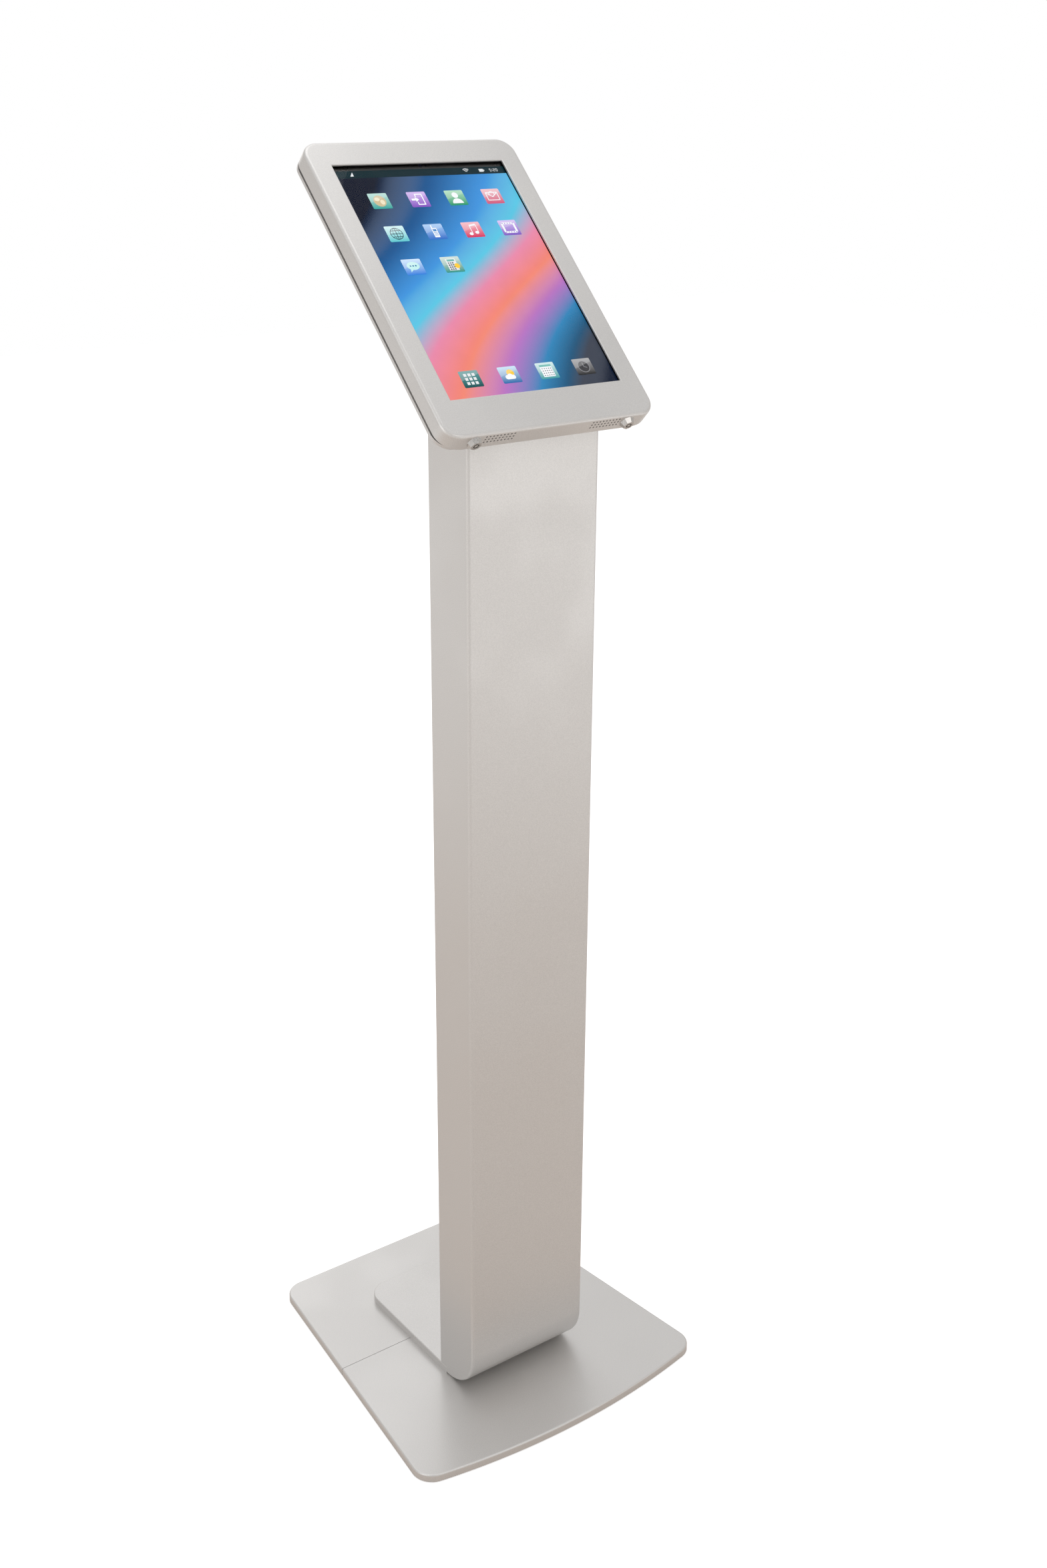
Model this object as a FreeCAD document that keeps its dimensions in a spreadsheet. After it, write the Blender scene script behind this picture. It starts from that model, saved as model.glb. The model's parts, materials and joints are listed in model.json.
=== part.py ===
import FreeCAD, Part
import math
import os
import Sketcher

# Free-standing touchscreen kiosk, millimetres, +Z up, front towards -Y.
# The origin is on the floor, at the middle of the base's footprint.
# The post is a folded sheet channel whose front curves under itself onto a foot plate.
# The head is drawn flat, in its own frame: x across, y up the face, z from the rear
# face of the back plate towards the visitor. on_head() then tilts it onto the post.

SIZES = [
    ("base_depth", 306.0, "base plates, front of the bow to the rear edge"),
    ("base_front_width", 303.8, "base width where the bowed front edge is deepest"),
    ("base_rear_width", 237.8, "base width at the rear edge"),
    ("base_bow", 17.0, "how far the front edge bows forward of its corners"),
    ("base_corner", 19.0, "corner radius of the base in plan"),
    ("base_plate", 7.0, "thickness of both base plates"),
    ("base_edge", 1.6, "rounding of the base's upper edge"),
    ("seam_place", 21.1, "y of the joint between the two base plates"),
    ("seam_gap", 0.4, "width of that joint"),
    ("pad_rise", 0.7, "how far the rubber pads stand out below the plates"),
    ("pad_radius", 15.0, "radius of a rubber pad"),
    ("pad_recess", 1.3, "depth of the recess that holds a pad"),
    ("post_width", 120.0, "post, side to side"),
    ("post_depth", 50.0, "post, front to back"),
    ("post_front", -80.3, "y of the post's front face"),
    ("post_wall", 2.5, "sheet of the post"),
    ("post_curve", 41.0, "outside radius of the curve at the bottom of the post"),
    ("post_edge", 2.8, "rounding of the post's two front edges"),
    ("foot_plate", 7.2, "thickness of the foot plate"),
    ("foot_rear", 97.9, "y of the foot plate's rear edge"),
    ("foot_corner", 20.0, "rear corner radius of the foot plate"),
    ("rear_sheet", 2.0, "sheet of the post's rear cover"),
    ("rear_drop", 2.9, "rear cover's top edge below the plane of the head"),
    ("tilt", 44.3, "tilt of the screen from the horizontal, degrees"),
    ("head_height", 850.3, "z of the head's lowest rear edge"),
    ("head_lead", 14.1, "how far that edge stands forward of the post"),
    ("side_room", 9.0, "tablet's side to the head's side"),
    ("top_room", 12.7, "tablet's top edge to the head's top edge"),
    ("head_corner", 14.0, "outside corner radius of the head"),
    ("head_edge", 2.6, "rounding of the cover's front edge"),
    ("cover_sheet", 1.5, "sheet of the cover"),
    ("back_sheet", 2.5, "thickness of the back plate"),
    ("shadow_gap", 2.0, "open gap between the cover's walls and the back plate"),
    ("window_side", 9.0, "tablet's side to the screen window"),
    ("window_foot", 17.0, "tablet's bottom edge to the screen window"),
    ("window_top", 9.4, "screen window to the tablet's top edge"),
    ("glass_gap", 0.3, "clearance between the glass and the gasket"),
    ("gasket_sheet", 0.8, "thickness of the foam gasket"),
    ("hinge_inset", 39.0, "middle of each hinge from the head's side"),
    ("hinge_drop", 2.0, "hinge axis below the head's top edge"),
    ("hinge_level", 3.3, "hinge axis above the rear face"),
    ("knuckle_radius", 2.0, "outside radius of the hinge knuckles"),
    ("pin_radius", 1.0, "radius of the hinge pins"),
    ("lock_inset", 25.6, "lock axis from the head's side"),
    ("lock_level", 9.8, "lock axis above the rear face"),
    ("lock_reach", 3.7, "how far the lock collar stands out of the bottom wall"),
    ("barrel_radius", 4.2, "threaded barrel of a lock"),
    ("plug_radius", 2.9, "turning plug of a lock"),
    ("cam_reach", 6.4, "lock axis to the tip of the cam"),
    ("tablet_width", 170.0, "tablet, side to side"),
    ("tablet_low", 14.5, "bottom edge of the tablet, up the face"),
    ("tablet_length", 238.0, "tablet, up the face"),
    ("tablet_level", 7.2, "rear face of the tablet above the rear face of the head"),
    ("tablet_case", 6.7, "depth of the tablet's housing"),
    ("tablet_wall", 1.5, "side walls of the tablet's housing"),
    ("glass_sheet", 0.8, "thickness of the tablet's glass"),
    ("lead_radius", 1.6, "radius of the charging lead"),
    ("lead_hole", 40.0, "where the lead leaves through the back plate, up the face"),
]

doc = FreeCAD.newDocument("TouchscreenKiosk")
sheet = doc.addObject("Spreadsheet::Sheet", "Sizes")
for row, (alias, value, note) in enumerate(SIZES, start=1):
    sheet.set("A%d" % row, str(value))
    sheet.setAlias("A%d" % row, alias)
    sheet.set("B%d" % row, note)
doc.recompute()

# Expressions that several sub-parts share.
BASE_TOP = "(Sizes.pad_rise + Sizes.base_plate)"
FOOT_TOP = "(Sizes.pad_rise + Sizes.base_plate + Sizes.foot_plate)"
POST_REAR = "(Sizes.post_front + Sizes.post_depth)"
CURVE_END = "(Sizes.post_front + Sizes.post_curve)"
TAPER = "((Sizes.base_front_width - Sizes.base_rear_width) / 2 / Sizes.base_depth)"
HALF_POST = "(Sizes.post_width / 2)"
HALF_TABLET = "(Sizes.tablet_width / 2)"
HALF_HEAD = "(Sizes.tablet_width / 2 + Sizes.side_room)"
HALF_WINDOW = "(Sizes.tablet_width / 2 - Sizes.window_side)"
TABLET_TOP = "(Sizes.tablet_low + Sizes.tablet_length)"
HEAD_TOP = "(%s + Sizes.top_room)" % TABLET_TOP
WINDOW_LOW = "(Sizes.tablet_low + Sizes.window_foot)"
WINDOW_HIGH = "(%s - Sizes.window_top)" % TABLET_TOP
CASE_FRONT = "(Sizes.tablet_level + Sizes.tablet_case)"
GLASS_FRONT = "(%s + Sizes.glass_sheet)" % CASE_FRONT
COVER_INSIDE = "(%s + Sizes.glass_gap + Sizes.gasket_sheet)" % GLASS_FRONT
HEAD_FRONT = "(%s + Sizes.cover_sheet)" % COVER_INSIDE
WALL_END = "(Sizes.back_sheet + Sizes.shadow_gap)"
HINGE_UP = "(%s - Sizes.hinge_drop)" % HEAD_TOP
HINGE_PLACE = "(%s - Sizes.hinge_inset)" % HALF_HEAD
LOCK_PLACE = "(%s - Sizes.lock_inset)" % HALF_HEAD
SIDES = (("left", -1), ("right", 1))
NODES = []


def vec(x, y, z):
    return FreeCAD.Vector(x, y, z)


def node(obj, name):
    """Give a finished sub-part its own name and put it on the list to write."""
    obj.Label = name
    NODES.append(obj)
    return obj


def place(obj, x, y, z):
    for axis, value in zip("xyz", (x, y, z)):
        obj.setExpression("Placement.Base." + axis, value)


def on_head(obj):
    """Tilt a sub-part drawn in the head's frame onto the top of the post."""
    obj.Placement = FreeCAD.Placement(vec(0, 0, 0), FreeCAD.Rotation(vec(1, 0, 0), 1))
    obj.setExpression("Placement.Rotation.Angle", "Sizes.tilt")
    place(obj, "0", "Sizes.post_front - Sizes.head_lead", "Sizes.head_height")
    return obj


# Part primitives and booleans ------------------------------------------------

def box(x, y, z):
    """A box between pairs of limits, each a number or an expression."""
    made = doc.addObject("Part::Box", "Block")
    for side, (low, high) in zip(("Length", "Width", "Height"), (x, y, z)):
        made.setExpression(side, "(%s) - (%s)" % (high, low))
    place(made, str(x[0]), str(y[0]), str(z[0]))
    return made


TURNS = {
    "z": FreeCAD.Rotation(),
    "y": FreeCAD.Rotation(vec(1, 0, 0), -90),
    "x": FreeCAD.Rotation(vec(0, 1, 0), 90),
}


def rod(radius, length, at, along="z", tip=None):
    """A cylinder, or a cone where tip gives a second radius, from at along an axis."""
    made = doc.addObject("Part::Cylinder" if tip is None else "Part::Cone", "Rod")
    made.Placement = FreeCAD.Placement(vec(0, 0, 0), TURNS[along])
    if tip is None:
        made.setExpression("Radius", str(radius))
    else:
        made.setExpression("Radius1", str(radius))
        made.setExpression("Radius2", str(tip))
    made.setExpression("Height", str(length))
    place(made, *[str(value) for value in at])
    return made


def group(pieces):
    made = doc.addObject("Part::Compound", "Group")
    made.Links = pieces
    return made


def fuse(pieces):
    made = doc.addObject("Part::MultiFuse", "Join")
    made.Shapes = pieces
    return made


def cut(base, tools):
    made = doc.addObject("Part::Cut", "Cut")
    made.Base = base
    made.Tool = tools[0] if len(tools) == 1 else fuse(tools)
    return made


def soften(base, radius, keep):
    """Round the edges of a Part object for which keep(edge) is true."""
    doc.recompute()
    made = doc.addObject("Part::Fillet", "Soft")
    made.Base = base
    made.Edges = [(k, radius, radius) for k, edge in enumerate(base.Shape.Edges, start=1)
                  if keep(edge)]
    return made


# PartDesign bodies -------------------------------------------------------------

def new_body(name):
    body = doc.addObject("PartDesign::Body", name.title().replace("_", ""))
    return body


def sketch(body, role, height="0"):
    """An empty sketch on one of the body's own origin planes, raised by height."""
    made = body.newObject("Sketcher::SketchObject", "Sketch")
    plane = [item for item in body.Origin.OriginFeatures if item.Role == role][0]
    made.AttachmentSupport = [(plane, "")]
    made.MapMode = "FlatFace"
    made.setExpression("AttachmentOffset.Base.z", height)
    return made


def bind(made, kind, geometry, point, value, start):
    index = made.addConstraint(Sketcher.Constraint(kind, -1, 1, geometry, point, start))
    made.setExpression("Constraints[%d]" % index, value)


def outline(made, corners, arcs=None):
    """A closed outline, anticlockwise, with every corner held by expressions.

    arcs maps the index of a corner to the radius of an outward arc that leaves it.
    """
    arcs = arcs or {}
    first = made.GeometryCount
    count = len(corners)
    ring = [FreeCAD.Rotation(vec(0, 0, 1), 360.0 * k / count + 200).multVec(vec(60, 0, 0))
            for k in range(count)]
    for k, start in enumerate(ring):
        end = ring[(k + 1) % count]
        if k in arcs:
            made.addGeometry(Part.Arc(start, (start + end) * 0.6, end), False)
        else:
            made.addGeometry(Part.LineSegment(start, end), False)
    for k in range(count):
        following = first + (k + 1) % count
        made.addConstraint(Sketcher.Constraint("Coincident", first + k, 2, following, 1))
    for k, (x, y) in enumerate(corners):
        bind(made, "DistanceX", first + k, 1, str(x), ring[k].x)
        bind(made, "DistanceY", first + k, 1, str(y), ring[k].y)
    for k, radius in arcs.items():
        size = made.Geometry[first + k].Radius
        index = made.addConstraint(Sketcher.Constraint("Radius", first + k, size))
        made.setExpression("Constraints[%d]" % index, radius)
    return made


def oblong(made, x, y):
    """A rectangle between pairs of limits."""
    return outline(made, [(x[0], y[0]), (x[1], y[0]), (x[1], y[1]), (x[0], y[1])])


def soft_oblong(made, x, y, radius):
    """A rectangle between pairs of limits with its four corners rounded."""
    left, right = x[0] + " + " + radius, "%s - (%s)" % (x[1], radius)
    low, high = y[0] + " + " + radius, "%s - (%s)" % (y[1], radius)
    return outline(made, [(left, y[0]), (right, y[0]), (x[1], low), (x[1], high),
                          (right, y[1]), (left, y[1]), (x[0], high), (x[0], low)],
                   {1: radius, 3: radius, 5: radius, 7: radius})


def circle(made, x, y, radius):
    index = made.addGeometry(Part.Circle(vec(20, 20 + made.GeometryCount, 0),
                                         vec(0, 0, 1), 2), False)
    middle = made.Geometry[index].Center
    bind(made, "DistanceX", index, 3, str(x), middle.x)
    bind(made, "DistanceY", index, 3, str(y), middle.y)
    rule = made.addConstraint(Sketcher.Constraint("Radius", index, 2))
    made.setExpression("Constraints[%d]" % rule, str(radius))
    return made


def pad(body, profile, length, refine=True):
    made = body.newObject("PartDesign::Pad", "Pad")
    made.Profile = profile
    made.Refine = refine
    made.setExpression("Length", length)
    profile.Visibility = False
    return made


def pocket(body, profile, length, upward=False):
    """Cut along the sketch's reverse direction, or forwards where upward is set."""
    doc.recompute()
    before = body.Shape.Volume
    made = body.newObject("PartDesign::Pocket", "Pocket")
    made.Profile = profile
    made.Reversed = upward
    made.setExpression("Length", length)
    doc.recompute()
    if body.Shape.Volume > before - 0.01:
        raise RuntimeError("a pocket in %s cuts nothing" % body.Name)
    return made


def rounded(body, radius, keep):
    """Fillet the edges of the body for which keep(edge) is true."""
    doc.recompute()
    solid = body.Tip
    names = ["Edge%d" % k for k, edge in enumerate(solid.Shape.Edges, start=1)
             if keep(edge)]
    if not names:
        raise RuntimeError("no edge to round in %s" % body.Name)
    made = body.newObject("PartDesign::Fillet", "Round")
    made.Base = (solid, names)
    made.setExpression("Radius", radius)
    doc.recompute()
    return made


def middle_of(edge):
    return edge.BoundBox.Center


def is_upright(edge):
    box_of = edge.BoundBox
    return box_of.ZLength > 0.5 and box_of.XLength < 0.01 and box_of.YLength < 0.01


def is_level_at(edge, height):
    box_of = edge.BoundBox
    return box_of.ZLength < 0.001 and abs(box_of.ZMin - height) < 0.001


def value_of(expression):
    return float(sheet.evalExpression(expression))


# Base ------------------------------------------------------------------------

SCREW_ROWS = {
    "front": (CURVE_END + " + 15.3", "Sizes.seam_place - 15.1"),
    "rear": ("Sizes.seam_place + 18.9", "Sizes.foot_rear - 19.9"),
}
SCREW_COLUMN = "(%s - 20)" % HALF_POST
SCREW_PLACES = {part: [("%d * %s" % (sign, SCREW_COLUMN), y) for y in rows for _, sign in SIDES]
                for part, rows in SCREW_ROWS.items()}
PAD_ROWS = {
    "front": ("(48 - Sizes.base_depth / 2)", "(Sizes.seam_place - 36.1)"),
    "rear": ("(Sizes.seam_place + 26.9)", "(Sizes.base_depth / 2 - 25)"),
}
PAD_INSET = 27


def half_width_at(y):
    return "(Sizes.base_front_width / 2 - %s * (%s + Sizes.base_depth / 2))" % (TAPER, y)


def pad_places(part):
    return [("%d * (%s - %s)" % (sign, half_width_at(y), PAD_INSET), y)
            for y in PAD_ROWS[part] for _, sign in SIDES]


def base_plate(part, corners, arcs):
    body = new_body("base_%s_plate" % part)
    pad(body, outline(sketch(body, "XY_Plane", "Sizes.pad_rise"), corners, arcs),
        "Sizes.base_plate")
    seam = value_of("Sizes.seam_place")
    rounded(body, "Sizes.base_corner",
            lambda edge: is_upright(edge) and abs(middle_of(edge).y - seam) > 5)
    top = value_of("Sizes.pad_rise") + value_of("Sizes.base_plate")
    rounded(body, "Sizes.base_edge",
            lambda edge: is_level_at(edge, top) and abs(middle_of(edge).y - seam) > 5)
    recesses = sketch(body, "XY_Plane", "Sizes.pad_rise")
    for x, y in pad_places(part):
        circle(recesses, x, y, "Sizes.pad_radius")
    pocket(body, recesses, "Sizes.pad_recess", upward=True)
    holes = sketch(body, "XY_Plane", BASE_TOP)
    for x, y in SCREW_PLACES[part]:
        circle(holes, x, y, 3.0)
    pocket(body, holes, "Sizes.base_plate")
    doc.recompute()
    sinks = [rod(6.0, 3.0, (x, y, "Sizes.pad_rise"), tip=3.0) for x, y in SCREW_PLACES[part]]
    node(cut(body, sinks), "base_%s_plate" % part)


def base():
    corner_y = "(Sizes.base_bow - Sizes.base_depth / 2)"
    corner_x = half_width_at(corner_y)
    bow_radius = "(%s ^ 2 + Sizes.base_bow ^ 2) / (2 * Sizes.base_bow)" % corner_x
    near = "(Sizes.seam_place - Sizes.seam_gap / 2)"
    far = "(Sizes.seam_place + Sizes.seam_gap / 2)"
    rear_y = "Sizes.base_depth / 2"
    rear_x = "Sizes.base_rear_width / 2"
    base_plate("front", [("-" + corner_x, corner_y), (corner_x, corner_y),
                         (half_width_at(near), near), ("-" + half_width_at(near), near)],
               {0: bow_radius})
    base_plate("rear", [("-" + half_width_at(far), far), (half_width_at(far), far),
                        (rear_x, rear_y), ("-" + rear_x, rear_y)], {})
    pads = [rod("Sizes.pad_radius", "Sizes.pad_rise + Sizes.pad_recess", (x, y, 0))
            for part in PAD_ROWS for x, y in pad_places(part)]
    node(group(pads), "base_pads")
    screws = []
    for places in SCREW_PLACES.values():
        for x, y in places:
            head = rod(6.0, 3.0, (x, y, "Sizes.pad_rise"), tip=3.0)
            shank = rod(3.0, "Sizes.base_plate + 2", (x, y, "Sizes.pad_rise + 3"))
            socket = rod(2.0, 1.6, (x, y, "Sizes.pad_rise"))
            screws.append(cut(fuse([head, shank]), [socket]))
    node(group(screws), "base_screws")


def foot():
    """Foot plate: it bridges the seam, and the post's side walls stand on it."""
    body = new_body("foot_plate")
    level = BASE_TOP
    front = sketch(body, "XY_Plane", level)
    pad(body, oblong(front, ("-" + HALF_POST, HALF_POST), (CURVE_END, POST_REAR)),
        "Sizes.foot_plate")
    rear = sketch(body, "XY_Plane", level)
    pad(body, oblong(rear, ("-" + HALF_POST, HALF_POST), (POST_REAR, "Sizes.foot_rear")),
        "Sizes.foot_plate", refine=False)
    rear_edge = value_of("Sizes.foot_rear")
    rounded(body, "Sizes.foot_corner",
            lambda edge: is_upright(edge) and middle_of(edge).y > rear_edge - 1)
    top = value_of("Sizes.pad_rise") + value_of("Sizes.base_plate") + value_of("Sizes.foot_plate")
    behind = value_of("Sizes.post_front") + value_of("Sizes.post_depth") + 1
    rounded(body, "1.2", lambda edge: is_level_at(edge, top) and middle_of(edge).y > behind)
    holes = [rod(3.0, "6", (x, y, BASE_TOP)) for places in SCREW_PLACES.values()
             for x, y in places]
    anchors = [rod(2.0, "Sizes.foot_plate", (x, ANCHOR_ROW, BASE_TOP))
               for x in ANCHOR_COLUMNS]
    node(cut(body, holes + anchors), "foot_plate")


# Post ------------------------------------------------------------------------

ANCHOR_COLUMNS = ["%d * (%s - 14)" % (sign, HALF_POST) for _, sign in SIDES]
ANCHOR_ROW = "(%s + 3.3)" % CURVE_END
COVER_SCREW_INSET = 10
GROMMET_LEVEL = 38.0


def top_of_post(y):
    """Height at depth y of the plane on which the head lies."""
    rise = "(%s - Sizes.post_front + Sizes.head_lead) * tan(Sizes.tilt)" % y
    return "(Sizes.head_height + %s)" % rise


REAR_TOP = "(%s - Sizes.rear_drop)" % top_of_post(POST_REAR)
COVER_SCREW_LEVELS = ("60", "((%s + 10) / 2)" % REAR_TOP, "(%s - 50)" % REAR_TOP)


def post_shell():
    """Folded channel: front and two sides, with the front curving under at the foot."""
    body = new_body("post_shell")
    outside = sketch(body, "YZ_Plane", "-" + HALF_POST)
    pad(body, outline(outside, [
        (CURVE_END, BASE_TOP), (CURVE_END, FOOT_TOP), (POST_REAR, FOOT_TOP),
        (POST_REAR, top_of_post(POST_REAR)),
        ("Sizes.post_front", top_of_post("Sizes.post_front")),
        ("Sizes.post_front", BASE_TOP + " + Sizes.post_curve")],
        {5: "Sizes.post_curve"}), "Sizes.post_width")
    half = value_of("Sizes.post_width") / 2
    front = value_of("Sizes.post_front")
    curve_end = front + value_of("Sizes.post_curve")
    rounded(body, "Sizes.post_edge",
            lambda edge: abs(abs(middle_of(edge).x) - half) < 0.01
            and edge.BoundBox.YMin < front + 0.01 and edge.BoundBox.YMax < curve_end + 0.01
            and edge.BoundBox.ZLength > 5)
    inner_front = "(Sizes.post_front + Sizes.post_wall)"
    inner_floor = "(%s + Sizes.post_wall)" % BASE_TOP
    beyond = "(%s + 5)" % POST_REAR
    above = "(%s + 20)" % top_of_post(POST_REAR)
    inside = sketch(body, "YZ_Plane", "%s - Sizes.post_wall" % HALF_POST)
    outline(inside, [
        (CURVE_END, inner_floor), (beyond, inner_floor), (beyond, above),
        (inner_front, above), (inner_front, BASE_TOP + " + Sizes.post_curve")],
        {4: "Sizes.post_curve - Sizes.post_wall"})
    pocket(body, inside, "Sizes.post_width - 2 * Sizes.post_wall")
    node(body, "post_shell")


def rear_cover():
    """Screwed sheet that closes the back of the post, with vents and a lead hole."""
    half = "(%s - Sizes.post_wall - 0.2)" % HALF_POST
    inner = "(%s - Sizes.rear_sheet)" % POST_REAR
    sheet_body = box(("-" + half, half), (inner, POST_REAR), (FOOT_TOP + " + 0.3",
                                                              REAR_TOP))
    openings = [rod(8.0, "Sizes.rear_sheet + 2", (0, inner + " - 1", GROMMET_LEVEL), "y")]
    for k in range(6):
        level = 240 + 9 * k
        openings.append(box((-22, 22), (inner + " - 1", POST_REAR + " + 1"),
                            (level, level + 3)))
    screws, tabs = [], []
    wall = "(%s - Sizes.post_wall)" % HALF_POST
    for level in COVER_SCREW_LEVELS:
        for _, sign in SIDES:
            x = "%d * (%s - %s)" % (sign, HALF_POST, COVER_SCREW_INSET)
            openings.append(rod(2.0, "Sizes.rear_sheet + 2", (x, inner + " - 1", level), "y"))
            shank = rod(2.0, "7", (x, inner + " - 5", level), "y")
            head = rod(3.8, 2.0, (x, POST_REAR, level), "y", tip=2.9)
            socket = rod(1.3, 1.2, (x, POST_REAR + " + 0.8", level), "y")
            screws.append(cut(fuse([shank, head]), [socket]))
            near, far = "%d * %s" % (sign, wall), "%d * (%s - 14.5)" % (sign, wall)
            tab = box((near, far) if sign < 0 else (far, near), (inner + " - 3", inner),
                      (level + " - 9", level + " + 9"))
            nut = rod(4.0, 3.0, (x, inner + " - 6", level), "y")
            bore = rod(2.0, 8.0, (x, inner + " - 7", level), "y")
            tabs.append(cut(fuse([tab, nut]), [bore]))
    node(cut(sheet_body, openings), "rear_cover")
    node(group(screws), "rear_cover_screws")
    node(group(tabs), "rear_cover_tabs")
    ring = cut(fuse([rod(8.0, "Sizes.rear_sheet", (0, inner, GROMMET_LEVEL), "y"),
                     rod(10.5, 1.8, (0, POST_REAR, GROMMET_LEVEL), "y", tip=9.0),
                     rod(9.5, 1.5, (0, inner + " - 1.5", GROMMET_LEVEL), "y")]),
               [rod(4.0, 10, (0, inner + " - 3", GROMMET_LEVEL), "y")])
    node(ring, "rear_grommet")


def post_anchors():
    """Angle brackets that tie the post's side walls down to the foot plate."""
    brackets, bolts = [], []
    wall = "(%s - Sizes.post_wall)" % HALF_POST
    rear = "(%s - Sizes.rear_sheet - 0.4)" % POST_REAR
    for x, (_, sign) in zip(ANCHOR_COLUMNS, SIDES):
        upright = ("%d * %s" % (sign, wall), "%d * (%s - 3)" % (sign, wall))
        flange = ("%d * %s" % (sign, wall), "%d * (%s - 19.5)" % (sign, wall))
        if sign > 0:
            upright, flange = upright[::-1], flange[::-1]
        angle = fuse([box(upright, (CURVE_END + " - 8", rear), (FOOT_TOP, FOOT_TOP + " + 30")),
                      box(flange, (CURVE_END, rear), (FOOT_TOP, FOOT_TOP + " + 3"))])
        brackets.append(cut(angle, [rod(2.0, 5, (x, ANCHOR_ROW, FOOT_TOP + " - 1"))]))
        shank = rod(2.0, "Sizes.foot_plate + 3", (x, ANCHOR_ROW, BASE_TOP))
        head = rod(3.2, 2.6, (x, ANCHOR_ROW, FOOT_TOP + " + 3"))
        bolts.append(fuse([shank, head]))
    node(group(brackets), "anchor_brackets")
    node(group(bolts), "anchor_bolts")


# Power inside the post ---------------------------------------------------------

ADAPTER_LOW, ADAPTER_HIGH = 130.0, 215.0


def power_adapter():
    inner = "(Sizes.post_front + Sizes.post_wall)"
    case = box((-24, 24), (inner, inner + " + 27"), (ADAPTER_LOW, ADAPTER_HIGH))
    case = soften(case, 2.5, lambda edge: is_upright(edge))
    inlet = box((-9, 9), (inner + " + 9", inner + " + 18"), (ADAPTER_LOW - 1,
                                                             ADAPTER_LOW + 9))
    node(cut(case, [inlet]), "power_adapter")
    pins = [rod(1.2, 8.5, (x, inner + " + 13.5", ADAPTER_LOW + 0.5)) for x in (-4.5, 4.5)]
    node(group(pins), "adapter_inlet_pins")
    low, high = ADAPTER_LOW + 35, ADAPTER_LOW + 50
    hoop = cut(box((-25.5, 25.5), (inner, inner + " + 28.5"), (low, high)),
               [box((-24, 24), (inner + " - 1", inner + " + 27"), (low - 1, high + 1))])
    ears = [box(x, (inner, inner + " + 1.5"), (low, high)) for x in ((-38, -24.5), (24.5, 38))]
    screws = []
    bores = []
    for x in (-32, 32):
        bores.append(rod(1.5, 4, (x, inner + " - 1", low + 7.5), "y"))
        screws.append(fuse([rod(1.5, 1.5, (x, inner, low + 7.5), "y"),
                            rod(3.0, 1.8, (x, inner + " + 1.5", low + 7.5), "y")]))
    node(cut(fuse([hoop] + ears), bores), "adapter_strap")
    node(group(screws), "adapter_screws")


def charge_lead():
    """Lead from the tablet's port, behind the tablet, down the post to the adapter."""
    radius = value_of("Sizes.lead_radius")
    angle = value_of("Sizes.tilt")
    turn = FreeCAD.Rotation(vec(1, 0, 0), angle)
    corner = vec(0, value_of("Sizes.post_front - Sizes.head_lead"),
                 value_of("Sizes.head_height"))

    def head_point(up, level):
        return corner + turn.multVec(vec(0, up, level))

    low = value_of("Sizes.tablet_low")
    level = (value_of("Sizes.back_sheet") + value_of("Sizes.tablet_level")) / 2
    hole = value_of("Sizes.lead_hole")
    adapter_y = value_of("Sizes.post_front") + value_of("Sizes.post_wall") + 13.5
    below = head_point(hole, -16)
    points = [
        head_point(low - 4.5, value_of("Sizes.tablet_level") + 1.2),
        head_point(low - 4.5, level),
        head_point(hole, level),
        below,
        vec(0, adapter_y, below.z - 60),
        vec(0, adapter_y, ADAPTER_HIGH),
    ]
    bends = [2.4, 2.4, 25.0, 90.0]
    edges = []
    start = points[0]
    for k, bend in enumerate(bends, start=1):
        before = (points[k - 1] - points[k]).normalize()
        after = (points[k + 1] - points[k]).normalize()
        half = before.getAngle(after) / 2
        away = bend / math.tan(half)
        first = points[k] + before * away
        last = points[k] + after * away
        bisector = (before + after).normalize()
        centre = points[k] + bisector * math.hypot(away, bend)
        edges.append(Part.LineSegment(start, first).toShape())
        edges.append(Part.Arc(first, centre - bisector * bend, last).toShape())
        start = last
    edges.append(Part.LineSegment(start, points[-1]).toShape())
    route = Part.Wire(edges)
    ring = Part.Wire(Part.Circle(points[0], (points[1] - points[0]), radius).toShape())
    made = doc.addObject("Part::Feature", "ChargeLead")
    made.Shape = route.makePipeShell([ring], True, False)
    node(made, "charge_lead")


def charge_plug():
    """Right-angled plug in the tablet's port."""
    low = "(Sizes.tablet_low - 7.5)"
    mould = box((-5.2, 5.2), (low, "Sizes.tablet_low - 0.3"),
                ("Sizes.tablet_level + 1.2", "Sizes.tablet_level + 6.2"))
    mould = soften(mould, 1.2, lambda edge: edge.BoundBox.ZLength > 4
                   and middle_of(edge).y < value_of("Sizes.tablet_low") - 5)
    tongue = box((-3.4, 3.4), ("Sizes.tablet_low - 0.3", "Sizes.tablet_low + 4.5"),
                 ("Sizes.tablet_level + 3.3", "Sizes.tablet_level + 4.5"))
    node(on_head(fuse([mould, tongue])), "charge_plug")


# Head: fixed side ----------------------------------------------------------------

MOUNT_COLUMN = "(%s - 20)" % HALF_POST
KNUCKLE_HALF = 6.0
KNUCKLE_GAP = 0.4
KNUCKLE_END = 12.0


def mount_reach(y, drop):
    """How far up the face a point lies that is at depth y and drop below the plane."""
    return "((%s - Sizes.post_front + Sizes.head_lead - %s * sin(Sizes.tilt))" \
           " / cos(Sizes.tilt))" % (y, drop)


MOUNT_LOW = mount_reach("(Sizes.post_front + Sizes.post_wall + 0.2)", "0")
MOUNT_HIGH = mount_reach("(%s - Sizes.rear_sheet - 0.3)" % POST_REAR, "4")
MOUNT_ROWS = ("(%s + 9.5)" % MOUNT_LOW, "(%s - 10.4)" % MOUNT_HIGH)


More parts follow.
